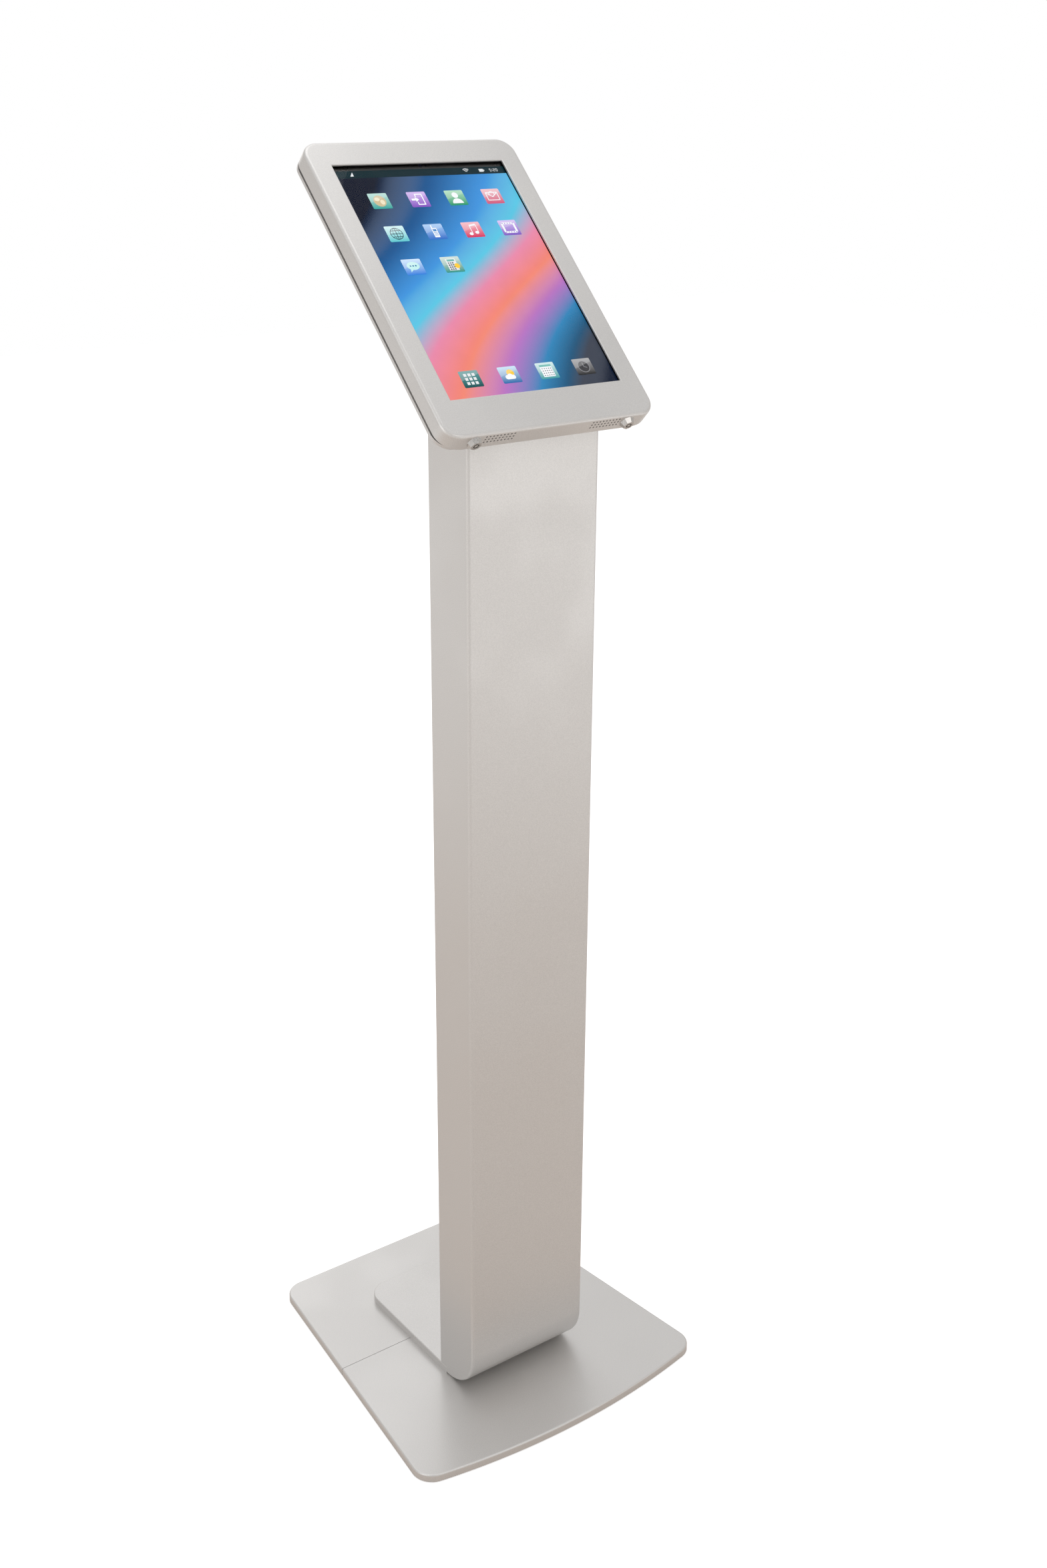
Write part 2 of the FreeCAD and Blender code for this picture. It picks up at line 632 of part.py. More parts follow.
def head_mount():
    """Sloping plate in the top of the post, its gussets and the four head screws."""
    half = "(%s - Sizes.post_wall)" % HALF_POST
    plate = box(("-" + half, half), (MOUNT_LOW, MOUNT_HIGH), (-4, 0))
    holes = [rod(2.5, 6, ("%d * %s" % (sign, MOUNT_COLUMN), y, -5)) for _, sign in SIDES
             for y in MOUNT_ROWS]
    holes.append(rod(7.0, 6, (0, "Sizes.lead_hole", -5)))
    node(on_head(cut(plate, holes)), "head_mount_plate")
    gussets, screws = [], []
    for _, sign in SIDES:
        sides = ("%d * %s" % (sign, half), "%d * (%s - 3)" % (sign, half))
        gussets.append(box(sides if sign < 0 else sides[::-1],
                           (MOUNT_LOW + " + 6.5", MOUNT_LOW + " + 28.5"), (-22, -4)))
        for y in MOUNT_ROWS:
            x = "%d * %s" % (sign, MOUNT_COLUMN)
            shank = rod(2.5, "Sizes.back_sheet + 4", (x, y, -4))
            head = rod(4.6, 2.2, (x, y, "Sizes.back_sheet"), tip=3.6)
            socket = rod(1.5, 1.4, (x, y, "Sizes.back_sheet + 0.8"))
            screws.append(cut(fuse([shank, head]), [socket]))
    node(on_head(group(gussets)), "mount_gussets")
    node(on_head(group(screws)), "head_mount_screws")


def enclosure_back():
    """Back plate with two upstands, screw and lead holes, and the fixed knuckles."""
    body = new_body("enclosure_back")
    plate = sketch(body, "XY_Plane")
    pad(body, oblong(plate, ("-" + HALF_HEAD, HALF_HEAD), (2.5, HEAD_TOP)),
        "Sizes.back_sheet")
    rounded(body, "Sizes.head_corner", is_upright)
    strip = sketch(body, "XY_Plane", "Sizes.back_sheet")
    pocket(body, oblong(strip, ("-" + HALF_HEAD, HALF_HEAD),
                        (HEAD_TOP + " - 3.2", HEAD_TOP + " + 1")),
           "Sizes.back_sheet")
    upstand_in = "(%s - Sizes.cover_sheet - 2.2)" % HALF_HEAD
    upstand_out = "(%s - Sizes.cover_sheet - 1.0)" % HALF_HEAD
    walls = sketch(body, "XY_Plane")
    oblong(walls, (upstand_in, upstand_out), (18, HEAD_TOP + " - 17"))
    oblong(walls, ("-" + upstand_out, "-" + upstand_in), (18, HEAD_TOP + " - 17"))
    oblong(walls, ("8 - " + HALF_HEAD, HALF_HEAD + " - 8"), (HEAD_TOP + " - 9",
                                                             HEAD_TOP + " - 7.8"))
    pad(body, walls, "Sizes.back_sheet + 10")
    cuts = sketch(body, "XY_Plane", "Sizes.back_sheet")
    for _, sign in SIDES:
        middle = "%d * %s" % (sign, HINGE_PLACE)
        oblong(cuts, ("%s - %s" % (middle, KNUCKLE_HALF + KNUCKLE_GAP),
                      "%s + %s" % (middle, KNUCKLE_HALF + KNUCKLE_GAP)),
               (HEAD_TOP + " - 4.8", HEAD_TOP))
        for y in MOUNT_ROWS:
            circle(cuts, "%d * %s" % (sign, MOUNT_COLUMN), y, 2.5)
    circle(cuts, 0, "Sizes.lead_hole", 7.0)
    pocket(body, cuts, "Sizes.back_sheet")
    knuckles, bores = [], []
    for _, sign in SIDES:
        for end in (-1, 1):
            near, far = sorted((end * (KNUCKLE_HALF + KNUCKLE_GAP), end * KNUCKLE_END))
            span = ["%d * %s + %s" % (sign, HINGE_PLACE, value) for value in (near, far)]
            knuckles.append(rod("Sizes.knuckle_radius", far - near,
                                (span[0], HINGE_UP, "Sizes.hinge_level"), "x"))
            knuckles.append(box(span, (HEAD_TOP + " - 5", HINGE_UP),
                                ("Sizes.hinge_level - Sizes.knuckle_radius",
                                 "Sizes.back_sheet")))
            bores.append(rod("Sizes.pin_radius", far - near + 2,
                             (span[0] + " - 1", HINGE_UP, "Sizes.hinge_level"), "x"))
    node(on_head(cut(fuse([body] + knuckles), bores)), "enclosure_back")


def hinge_pins():
    pins = [rod("Sizes.pin_radius", 2 * KNUCKLE_END,
                ("%d * %s - %s" % (sign, HINGE_PLACE, KNUCKLE_END), HINGE_UP,
                 "Sizes.hinge_level"), "x") for _, sign in SIDES]
    node(on_head(group(pins)), "hinge_pins")


def back_grommet():
    ring = cut(fuse([rod(7.0, "Sizes.back_sheet + 4", (0, "Sizes.lead_hole", -4)),
                     rod(8.6, 0.6, (0, "Sizes.lead_hole", "Sizes.back_sheet")),
                     rod(8.6, 1.2, (0, "Sizes.lead_hole", -5.2))]),
               [box((-1.8, 1.8), ("Sizes.lead_hole - 6", "Sizes.lead_hole + 1.8"), (-6, 5))])
    node(on_head(ring), "back_grommet")


def lock_strikes():
    """Hooks on the back plate that the cams turn under."""
    hooks, screws = [], []
    for _, sign in SIDES:
        def across(near, far):
            pair = ("%d * (%s - %s)" % (sign, LOCK_PLACE, near),
                    "%d * (%s - %s)" % (sign, LOCK_PLACE, far))
            return pair if sign < 0 else pair[::-1]
        lip_top = "(Sizes.lock_level + 4.6)"
        hook = fuse([
            box(across(7.0, 8.5), (7.0, 11.5), ("Sizes.back_sheet", lip_top)),
            box(across(4.4, 8.5), (8.0, 10.6), (lip_top + " - 1.4", lip_top)),
            box(across(7.0, 18.0), (5.0, 13.0), ("Sizes.back_sheet",
                                                 "Sizes.back_sheet + 1.5"))])
        x = "%d * (%s - 13.5)" % (sign, LOCK_PLACE)
        hooks.append(cut(hook, [rod(1.25, 3, (x, 9, "Sizes.back_sheet"))]))
        screws.append(fuse([rod(1.25, 1.5, (x, 9, "Sizes.back_sheet")),
                            rod(2.4, 1.4, (x, 9, "Sizes.back_sheet + 1.5"), tip=1.9)]))
    node(on_head(group(hooks)), "lock_strikes")
    node(on_head(group(screws)), "strike_screws")


def cradle():
    """Foam pads behind the tablet and corner clips around it."""
    first, last = MOUNT_HIGH + " + 20", TABLET_TOP + " - 40"
    pads = []
    for _, sign in SIDES:
        x = "%d * (%s - 23)" % (sign, HALF_TABLET)
        for y in (first, "(%s + %s) / 2" % (first, last), last):
            pads.append(box((x + " - 12", x + " + 12"), (y + " - 13", y + " + 13"),
                            ("Sizes.back_sheet", "Sizes.tablet_level")))
    node(on_head(group(pads)), "tablet_pads")
    clips, screws = [], []
    gap, sheet_size, tall = 0.2, 1.5, 7.0
    for _, sign in SIDES:
        for end in (-1, 1):
            side = "(%s + %s)" % (HALF_TABLET, gap)
            edge = "(Sizes.tablet_low - %s)" % gap if end < 0 else "(%s + %s)" % (TABLET_TOP,
                                                                                 gap)
            levels = ("Sizes.back_sheet", "Sizes.back_sheet + %s" % tall)

            def across(near, far):
                pair = ("%d * (%s + %s)" % (sign, side, near), "%d * (%s + %s)"
                        % (sign, side, far))
                return pair if sign > 0 else pair[::-1]

            def along(near, far):
                pair = ("%s + %s" % (edge, end * near), "%s + %s" % (edge, end * far))
                return pair if end > 0 else pair[::-1]

            clip = fuse([box(across(0, sheet_size), along(-20, sheet_size), levels),
                         box(across(-11, sheet_size), along(0, sheet_size), levels),
                         box(across(-11, sheet_size), along(-20, sheet_size),
                             ("Sizes.back_sheet", "Sizes.back_sheet + 1.2"))])
            x = "%d * (%s - 6)" % (sign, side)
            y = "%s + %s" % (edge, end * -13)
            clips.append(cut(clip, [rod(1.25, 3, (x, y, "Sizes.back_sheet - 1"))]))
            screws.append(fuse([rod(1.25, 1.2, (x, y, "Sizes.back_sheet")),
                                rod(2.4, 1.3, (x, y, "Sizes.back_sheet + 1.2"), tip=1.9)]))
    node(on_head(group(clips)), "tablet_clips")
    node(on_head(group(screws)), "clip_screws")


# Tablet ----------------------------------------------------------------------

POWER_KEY = (HALF_TABLET + " - 27", HALF_TABLET + " - 15")
VOLUME_KEYS = {"volume_up_key": (TABLET_TOP + " - 36.5", TABLET_TOP + " - 26.5"),
               "volume_down_key": (TABLET_TOP + " - 49.5", TABLET_TOP + " - 39.5")}
KEY_LEVEL = ("Sizes.tablet_level + 2.7", "Sizes.tablet_level + 4.4")
KEY_GAP = 0.15
CAMERA_PLACE = 2.0


def widened(limits, gap):
    """A pair of limits moved apart by gap at each end."""
    return "%s - %s" % (limits[0], gap), "%s + %s" % (limits[1], gap)


def tablet_housing():
    body = new_body("tablet_housing")
    base_sketch = sketch(body, "XY_Plane", "Sizes.tablet_level")
    pad(body, oblong(base_sketch, ("-" + HALF_TABLET, HALF_TABLET),
                     ("Sizes.tablet_low", TABLET_TOP)), "Sizes.tablet_case")
    rounded(body, "10", is_upright)
    rear = value_of("Sizes.tablet_level")
    rounded(body, "2", lambda edge: is_level_at(edge, rear))
    room = sketch(body, "XY_Plane", CASE_FRONT)
    inner = "(%s - Sizes.tablet_wall)" % HALF_TABLET
    pocket(body, soft_oblong(room, ("-" + inner, inner),
                             ("Sizes.tablet_low + Sizes.tablet_wall",
                              TABLET_TOP + " - Sizes.tablet_wall"), "8.5"),
           "Sizes.tablet_case - 1")
    slots = [box((-4.7, 4.7), ("Sizes.tablet_low - 1", "Sizes.tablet_low + 3"),
                 ("Sizes.tablet_level + 2.3", "Sizes.tablet_level + 5.5")),
             box(widened(POWER_KEY, KEY_GAP), (TABLET_TOP + " - 3", TABLET_TOP + " + 1"),
                 widened(KEY_LEVEL, KEY_GAP))]
    for limits in VOLUME_KEYS.values():
        slots.append(box((HALF_TABLET + " - 3", HALF_TABLET + " + 1"),
                         widened(limits, KEY_GAP), widened(KEY_LEVEL, KEY_GAP)))
    node(on_head(cut(body, slots)), "tablet_housing")


def tablet_keys():
    """Push keys: each stands 0.6 out of the case and is held by a flange inside it."""
    inside = "(Sizes.tablet_wall + 0.05)"
    flange = widened(KEY_LEVEL, 0.6)

    def reach(edge):
        """Limits of a key's button and of its flange, outwards from inside the case."""
        return (("%s - %s" % (edge, inside), edge + " + 0.6"),
                ("%s - %s - 0.8" % (edge, inside), "%s - %s" % (edge, inside)))

    button, rim = reach(TABLET_TOP)
    key = fuse([box(POWER_KEY, button, KEY_LEVEL), box(widened(POWER_KEY, 1.5), rim, flange)])
    node(on_head(key), "power_key")
    button, rim = reach(HALF_TABLET)
    for name, limits in VOLUME_KEYS.items():
        key = fuse([box(button, limits, KEY_LEVEL), box(rim, widened(limits, 1.2), flange)])
        node(on_head(key), name)


def tablet_inside():
    """Glass, display, battery, board, speakers, port and camera of the tablet."""
    glass = box(("1 - " + HALF_TABLET, HALF_TABLET + " - 1"),
                ("Sizes.tablet_low + 1", TABLET_TOP + " - 1"), (CASE_FRONT, GLASS_FRONT))
    node(on_head(soften(glass, 9.0, is_upright)), "tablet_glass")
    half = "(%s + 1)" % HALF_WINDOW
    panel = box(("-" + half, half), (WINDOW_LOW + " - 2", WINDOW_HIGH + " - 2.7"),
                (CASE_FRONT + " - 2.2", CASE_FRONT + " - 0.1"))
    node(on_head(group([panel])), "display_panel")
    floor = "(Sizes.tablet_level + 1)"
    side = "(%s - 9)" % HALF_TABLET
    cells = [soften(box(pair, ("Sizes.tablet_low + 51.5", TABLET_TOP + " - 60.5"),
                        (floor + " + 0.1", floor + " + 3.2")), 1.0, is_upright)
             for pair in (("-" + side, -2), (2, side))]
    node(on_head(group(cells)), "battery_cells")
    side = "(%s - 13)" % HALF_TABLET
    board = box(("-" + side, side), (TABLET_TOP + " - 55.5", TABLET_TOP + " - 13.5"),
                (floor + " + 0.1", floor + " + 1.1"))
    node(on_head(group([board])), "logic_board")
    chips = [box((x, x + size), ("%s - %s" % (TABLET_TOP, drop), "%s - %s"
                                 % (TABLET_TOP, drop - size)),
                 (floor + " + 1.1", floor + " + 2.2"))
             for x, drop, size in ((-50, 42.5, 14), (-28, 38.5, 11), (-10, 46.5, 18),
                                   (20, 40.5, 12), (42, 32.5, 9))]
    node(on_head(group(chips)), "board_chips")
    sounders = [box((sign * 45 - 17, sign * 45 + 17),
                    ("Sizes.tablet_low + 3", "Sizes.tablet_low + 10.5"),
                    (floor + " + 0.1", floor + " + 3")) for _, sign in SIDES]
    node(on_head(group(sounders)), "tablet_speakers")
    port = cut(box((-4.6, 4.6), ("Sizes.tablet_low + 0.3", "Sizes.tablet_low + 8"),
                   ("Sizes.tablet_level + 2.4", "Sizes.tablet_level + 5.4")),
               [box((-3.8, 3.8), ("Sizes.tablet_low - 1", "Sizes.tablet_low + 7"),
                    ("Sizes.tablet_level + 3", "Sizes.tablet_level + 4.8"))])
    node(on_head(port), "charge_port")
    eye = "(%s - 9.7)" % TABLET_TOP
    camera = fuse([rod(1.8, 2.5, (CAMERA_PLACE, eye, CASE_FRONT + " - 2.6")),
                   box((CAMERA_PLACE - 3, CAMERA_PLACE + 3), (eye + " - 3", eye + " + 3"),
                       (CASE_FRONT + " - 4", CASE_FRONT + " - 2.4"))])
    node(on_head(camera), "front_camera")


# Head: hinged cover --------------------------------------------------------------

HOLE_PITCH = 3.04
HOLE_RADIUS = 0.75
HOLE_COLUMNS = 9
HOLE_GROUP = "(%s - 21.1)" % LOCK_PLACE
HOLE_DEPTHS = (3.2, 6.25, 9.3)


def enclosure_cover():
    """Folded cover: front sheet with the window, four walls, and the hinge knuckles."""
    body = new_body("enclosure_cover")
    rear = "(Sizes.back_sheet - 0.1)"
    shape = sketch(body, "XY_Plane", rear)
    pad(body, oblong(shape, ("-" + HALF_HEAD, HALF_HEAD), ("0", HEAD_TOP)),
        "%s - %s" % (HEAD_FRONT, rear))
    rounded(body, "Sizes.head_corner", is_upright)
    front = value_of(HEAD_FRONT)
    rounded(body, "Sizes.head_edge", lambda edge: is_level_at(edge, front))
    room = sketch(body, "XY_Plane", rear)
    inner = "(%s - Sizes.cover_sheet)" % HALF_HEAD
    pocket(body, soft_oblong(room, ("-" + inner, inner),
                             ("Sizes.cover_sheet", HEAD_TOP + " - Sizes.cover_sheet"),
                             "(Sizes.head_corner - Sizes.cover_sheet)"),
           "%s - %s" % (COVER_INSIDE, rear), upward=True)
    trim = sketch(body, "XY_Plane", rear)
    pocket(body, oblong(trim, ("-%s - 1" % HALF_HEAD, HALF_HEAD + " + 1"),
                        (16, HEAD_TOP + " + 1")), "%s - %s" % (WALL_END, rear),
           upward=True)
    slope = sketch(body, "XZ_Plane", "1")
    near, far = "(%s - 18)" % HALF_HEAD, "(%s - 8)" % HALF_HEAD
    out = "(%s + 1)" % HALF_HEAD
    outline(slope, [(near, rear + " - 0.1"), (out, rear + " - 0.1"), (out, WALL_END),
                    (far, WALL_END)])
    outline(slope, [("-" + out, rear + " - 0.1"), ("-" + near, rear + " - 0.1"),
                    ("-" + far, WALL_END), ("-" + out, WALL_END)])
    pocket(body, slope, "17.5")
    window = sketch(body, "XY_Plane", HEAD_FRONT)
    pocket(body, oblong(window, ("-" + HALF_WINDOW, HALF_WINDOW), (WINDOW_LOW, WINDOW_HIGH)),
           "Sizes.cover_sheet + 1")
    side, low, high = [value_of(edge) for edge in (HALF_WINDOW, WINDOW_LOW, WINDOW_HIGH)]
    rounded(body, "0.7", lambda edge: is_level_at(edge, front)
            and abs(middle_of(edge).x) < side + 1 and low - 1 < middle_of(edge).y < high + 1)
    for _, sign in SIDES:
        holes = sketch(body, "XZ_Plane", "1")
        for depth in HOLE_DEPTHS:
            circle(holes, "%d * %s - %s" % (sign, HOLE_GROUP, HOLE_PITCH * (HOLE_COLUMNS - 1) / 2),
                   "%s - %s" % (HEAD_FRONT, depth), HOLE_RADIUS)
        punch = pocket(body, holes, "Sizes.cover_sheet + 2")
        pattern = body.newObject("PartDesign::LinearPattern", "HoleRow")
        pattern.Originals = [punch]
        pattern.Direction = (holes, ["H_Axis"])
        pattern.Length = HOLE_PITCH * (HOLE_COLUMNS - 1)
        pattern.Occurrences = HOLE_COLUMNS
        body.Tip = pattern
        doc.recompute()
    arms, cuts = [], []
    for _, sign in SIDES:
        middle = "%d * %s" % (sign, HINGE_PLACE)
        arms.append(rod("Sizes.knuckle_radius", 2 * KNUCKLE_HALF,
                        ("%s - %s" % (middle, KNUCKLE_HALF), HINGE_UP, "Sizes.hinge_level"),
                        "x"))
        arms.append(box(("%s - %s" % (middle, KNUCKLE_HALF), "%s + %s" % (middle,
                                                                        KNUCKLE_HALF)),
                        (HEAD_TOP + " - Sizes.cover_sheet", HEAD_TOP),
                        ("Sizes.hinge_level", WALL_END + " + 1")))
        cuts.append(rod("Sizes.pin_radius + 0.05", 2 * KNUCKLE_HALF + 2,
                        ("%s - %s" % (middle, KNUCKLE_HALF + 1), HINGE_UP,
                         "Sizes.hinge_level"), "x"))
        for end in (-1, 1):
            near, far = sorted((end * KNUCKLE_HALF, end * (KNUCKLE_END + KNUCKLE_GAP)))
            cuts.append(box(("%s + %s" % (middle, near), "%s + %s" % (middle, far)),
                            (HEAD_TOP + " - 3", HEAD_TOP + " + 1"),
                            (WALL_END + " - 1", "Sizes.hinge_level + 2.8")))
        cuts.append(rod("Sizes.barrel_radius", "Sizes.cover_sheet + 2",
                        ("%d * %s" % (sign, LOCK_PLACE), -1, "Sizes.lock_level"), "y"))
    node(on_head(cut(fuse([body] + arms), cuts)), "enclosure_cover")


def cover_gasket():
    """Foam ring behind the window, and the cloth behind the sound holes."""
    levels = (COVER_INSIDE + " - Sizes.gasket_sheet", COVER_INSIDE)
    ring = cut(box(("-%s - 5.6" % HALF_WINDOW, HALF_WINDOW + " + 5.6"),
                   (WINDOW_LOW + " - 5.6", WINDOW_HIGH + " + 5.6"), levels),
               [box(("-%s - 0.6" % HALF_WINDOW, HALF_WINDOW + " + 0.6"),
                    (WINDOW_LOW + " - 0.6", WINDOW_HIGH + " + 0.6"),
                    (COVER_INSIDE + " - 2", COVER_INSIDE + " + 1"))])
    node(on_head(ring), "cover_gasket")
    mesh = []
    for _, sign in SIDES:
        x = "%d * %s" % (sign, HOLE_GROUP)
        mesh.append(box((x + " - 14", x + " + 14"),
                        ("Sizes.cover_sheet", "Sizes.cover_sheet + 0.5"),
                        (HEAD_FRONT + " - 11.1", COVER_INSIDE + " - 0.2")))
    node(on_head(group(mesh)), "speaker_mesh")


def ring_of_sides(count, radius, at):
    """A regular outline across the y axis, for the facets of a collar or nut."""
    made = doc.addObject("Part::RegularPolygon", "Facets")
    made.Polygon = count
    made.setExpression("Circumradius", radius)
    made.Placement = FreeCAD.Placement(vec(0, 0, 0), TURNS["y"])
    place(made, *at)
    return made


def prism(count, near, far):
    """A solid between two regular outlines, each a radius and a place."""
    made = doc.addObject("Part::Loft", "Prism")
    made.Sections = [ring_of_sides(count, *near), ring_of_sides(count, *far)]
    made.Solid = True
    made.Ruled = True
    return made


def locks():
    """Cam lock on each side of the bottom wall: body, nut, plug, cam and cam screw."""
    level = "Sizes.lock_level"
    for side, sign in SIDES:
        x = "%d * %s" % (sign, LOCK_PLACE)
        collar = prism(8, ("5.9", (x, "0", level)), ("4.3", (x, "-Sizes.lock_reach", level)))
        barrel = rod("Sizes.barrel_radius", 7.8, (x, 0, level), "y")
        bore = rod("Sizes.plug_radius + 0.05", "Sizes.lock_reach + 9",
                   (x, "-Sizes.lock_reach - 0.5", level), "y")
        node(on_head(cut(fuse([collar, barrel]), [bore])), side + "_lock_body")
        nut = cut(prism(6, ("5.5", (x, "Sizes.cover_sheet", level)),
                        ("5.5", (x, "Sizes.cover_sheet + 2.6", level))),
                  [rod("Sizes.barrel_radius", 6, (x, 0, level), "y")])
        node(on_head(nut), side + "_lock_nut")
        plug = rod("Sizes.plug_radius", "Sizes.lock_reach + 8.1",
                   (x, "-Sizes.lock_reach + 0.1", level), "y")
        keyway = cut(rod(2.3, 2.1, (x, "-Sizes.lock_reach", level), "y"),
                     [rod(1.4, 4, (x, "-Sizes.lock_reach - 1", level), "y")])
        screw_bore = rod(1.1, 4, (x, 4.2, level), "y")
        node(on_head(cut(plug, [keyway, screw_bore])), side + "_lock_plug")
        hub = rod(3.2, 1.5, (x, 8.2, level), "y")
        arm = box((x + " - 2.4", x + " + 2.4"), (8.2, 9.7),
                  (level + " - Sizes.cam_reach", level))
        hole = rod(1.1, 4, (x, 7, level), "y")
        node(on_head(cut(fuse([hub, arm]), [hole])), side + "_lock_cam")
        screw = fuse([rod(1.1, 5.2, (x, 4.5, level), "y"),
                      rod(2.2, 1.3, (x, 9.7, level), "y", tip=1.8)])
        node(on_head(screw), side + "_cam_screw")


def write_parts():
    doc.recompute()
    for obj in doc.Objects:
        if "Invalid" in obj.State or "Error" in obj.State:
            raise RuntimeError("%s (%s) failed: %s" % (obj.Name, obj.Label, obj.State))
    for obj in NODES:
        if obj.Shape.isNull() or not obj.Shape.isValid() or not obj.Shape.Solids:
            raise RuntimeError("%s has no valid solid" % obj.Label)
    os.makedirs("parts", exist_ok=True)
    for obj in NODES:
        obj.Shape.exportStep(os.path.join("parts", obj.Label + ".step"))
        size = obj.Shape.BoundBox
        print("%-20s solids %2d  volume %10.1f mm3  z %.1f to %.1f" % (
            obj.Label, len(obj.Shape.Solids), obj.Shape.Volume, size.ZMin, size.ZMax))


base()
foot()
post_shell()
rear_cover()
post_anchors()
power_adapter()
head_mount()
enclosure_back()
hinge_pins()
back_grommet()
lock_strikes()
cradle()
tablet_housing()
tablet_keys()
tablet_inside()
charge_plug()
charge_lead()
enclosure_cover()
cover_gasket()
locks()
write_parts()
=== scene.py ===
# %% [markdown]
# # A free-standing touchscreen kiosk
# The kiosk is folded sheet steel with a silver coat: a base plate, a post and a tilted head
# with a tablet behind a window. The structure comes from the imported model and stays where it
# is. This lesson adds the finishes, the lit picture, the soft pieces and the studio.

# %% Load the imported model
import json
import math

import bmesh
import bpy
from mathutils import Matrix, Vector


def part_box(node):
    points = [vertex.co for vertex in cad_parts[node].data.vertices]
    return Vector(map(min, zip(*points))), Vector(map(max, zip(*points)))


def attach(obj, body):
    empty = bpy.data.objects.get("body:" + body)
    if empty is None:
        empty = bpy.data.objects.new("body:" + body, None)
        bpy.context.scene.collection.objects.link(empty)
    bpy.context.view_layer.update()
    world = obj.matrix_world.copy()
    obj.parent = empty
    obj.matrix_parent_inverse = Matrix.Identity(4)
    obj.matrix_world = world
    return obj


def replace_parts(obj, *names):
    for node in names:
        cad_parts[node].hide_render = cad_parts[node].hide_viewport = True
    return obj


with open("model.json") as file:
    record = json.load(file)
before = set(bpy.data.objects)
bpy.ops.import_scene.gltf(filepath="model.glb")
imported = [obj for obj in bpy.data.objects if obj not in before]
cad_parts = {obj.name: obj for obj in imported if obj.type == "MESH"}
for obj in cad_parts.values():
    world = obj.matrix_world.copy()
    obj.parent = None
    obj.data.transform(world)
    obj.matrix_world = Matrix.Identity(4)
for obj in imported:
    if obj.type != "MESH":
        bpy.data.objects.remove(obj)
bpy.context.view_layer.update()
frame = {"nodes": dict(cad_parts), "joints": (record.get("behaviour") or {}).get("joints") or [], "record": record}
NODES = frame["nodes"]
MM = 0.001
print("packed nodes:", len(NODES))

# %% [markdown]
# ## Finding the face of the head
# The screen is tilted, so pieces on it are easiest to draw flat and then laid on the face.
# The locks turn about an axis that runs up the face, which gives the tilt without measuring
# it, and the cover and the back plate give the face's lower edge and its rear level.

# %% A frame of reference that lies on the face
joints = {joint["name"]: joint for joint in frame["joints"]}
UP_FACE = Vector(joints["right_lock_turn"]["axis"]).normalized()
ACROSS = Vector((1, 0, 0))
OUT = ACROSS.cross(UP_FACE)


def lowest(name, axis):
    return min(corner.co.dot(axis) for corner in NODES[name].data.vertices)


corner_of_face = UP_FACE * lowest("enclosure_cover", UP_FACE) + OUT * lowest("enclosure_back", OUT)
FACE = Matrix.Translation(corner_of_face) @ Matrix((ACROSS, UP_FACE, OUT)).transposed().to_4x4()


def on_face(name):
    """The ranges of a node across the face, up the face and out of it."""
    inside = FACE.inverted()
    corners = [inside @ corner.co for corner in NODES[name].data.vertices]
    return [(min(c[k] for c in corners), max(c[k] for c in corners)) for k in range(3)]


print("tilt of the face:", round(math.degrees(math.asin(UP_FACE.z)), 2), "degrees")

# %% [markdown]
# ## Node tools for the finishes
# Each finish is a small node tree around one Principled shader. These helpers add a node,
# join two sockets and blend two colours, so that a finish reads as a short recipe.


# %% Short helpers for node trees
def new_finish(name, metallic=0.0, roughness=0.5):
    """A material with one Principled shader, and its tree and shader."""
    material = bpy.data.materials.new(name)
    material.use_nodes = True
    shader = material.node_tree.nodes["Principled BSDF"]
    shader.inputs["Metallic"].default_value = metallic
    shader.inputs["Roughness"].default_value = roughness
    return material, material.node_tree, shader


def add(tree, kind, **settings):
    made = tree.nodes.new("ShaderNode" + kind)
    for key, value in settings.items():
        setattr(made, key, value)
    return made


def feed(tree, socket, value):
    """Join an output to a socket, or set the socket where value is a plain number."""
    if isinstance(value, bpy.types.NodeSocket):
        tree.links.new(value, socket)
    else:
        socket.default_value = value


def sum_up(tree, operation, *values):
    made = add(tree, "Math", operation=operation)
    for socket, value in zip(made.inputs, values):
        feed(tree, socket, value)
    return made.outputs[0]


def between(tree, value, low, high, to_low=0.0, to_high=1.0):
    """A value that goes from to_low at low to to_high at high and stays within them."""
    made = add(tree, "MapRange", interpolation_type="SMOOTHSTEP")
    for socket, number in zip(made.inputs, (value, low, high, to_low, to_high)):
        feed(tree, socket, number)
    return made.outputs[0]


def mixed(tree, share, first, second):
    """One colour at share 0 and the other at share 1."""
    made = add(tree, "Mix", data_type="RGBA")
    for socket, value in zip((made.inputs[0], made.inputs[6], made.inputs[7]),
                             (share, first, second)):
        feed(tree, socket, value)
    return made.outputs[2]


def grey(value, warmth=0.0):
    """A near-neutral colour, warmer where warmth is above 0."""
    return (value * (1 + warmth), value, value * (1 - warmth), 1)


print("node helpers are ready")

# %% [markdown]
# ## Grain that several finishes share
# Powder coat, rubber, foam and moulded plastic all have a fine grain with a slow unevenness
# under it. One node group makes both from the object's own coordinates: a mask for colour and
# roughness, and a height for the bump. Each finish then sets its own scale.


# %% The grain group
def make_group(name, inputs, outputs):
    group = bpy.data.node_groups.new(name, "ShaderNodeTree")
    for label, value in inputs.items():
        socket = group.interface.new_socket(label, in_out="INPUT", socket_type="NodeSocketFloat")
        socket.default_value = value
    for label in outputs:
        group.interface.new_socket(label, in_out="OUTPUT", socket_type="NodeSocketFloat")
    return group, group.nodes.new("NodeGroupInput"), group.nodes.new("NodeGroupOutput")


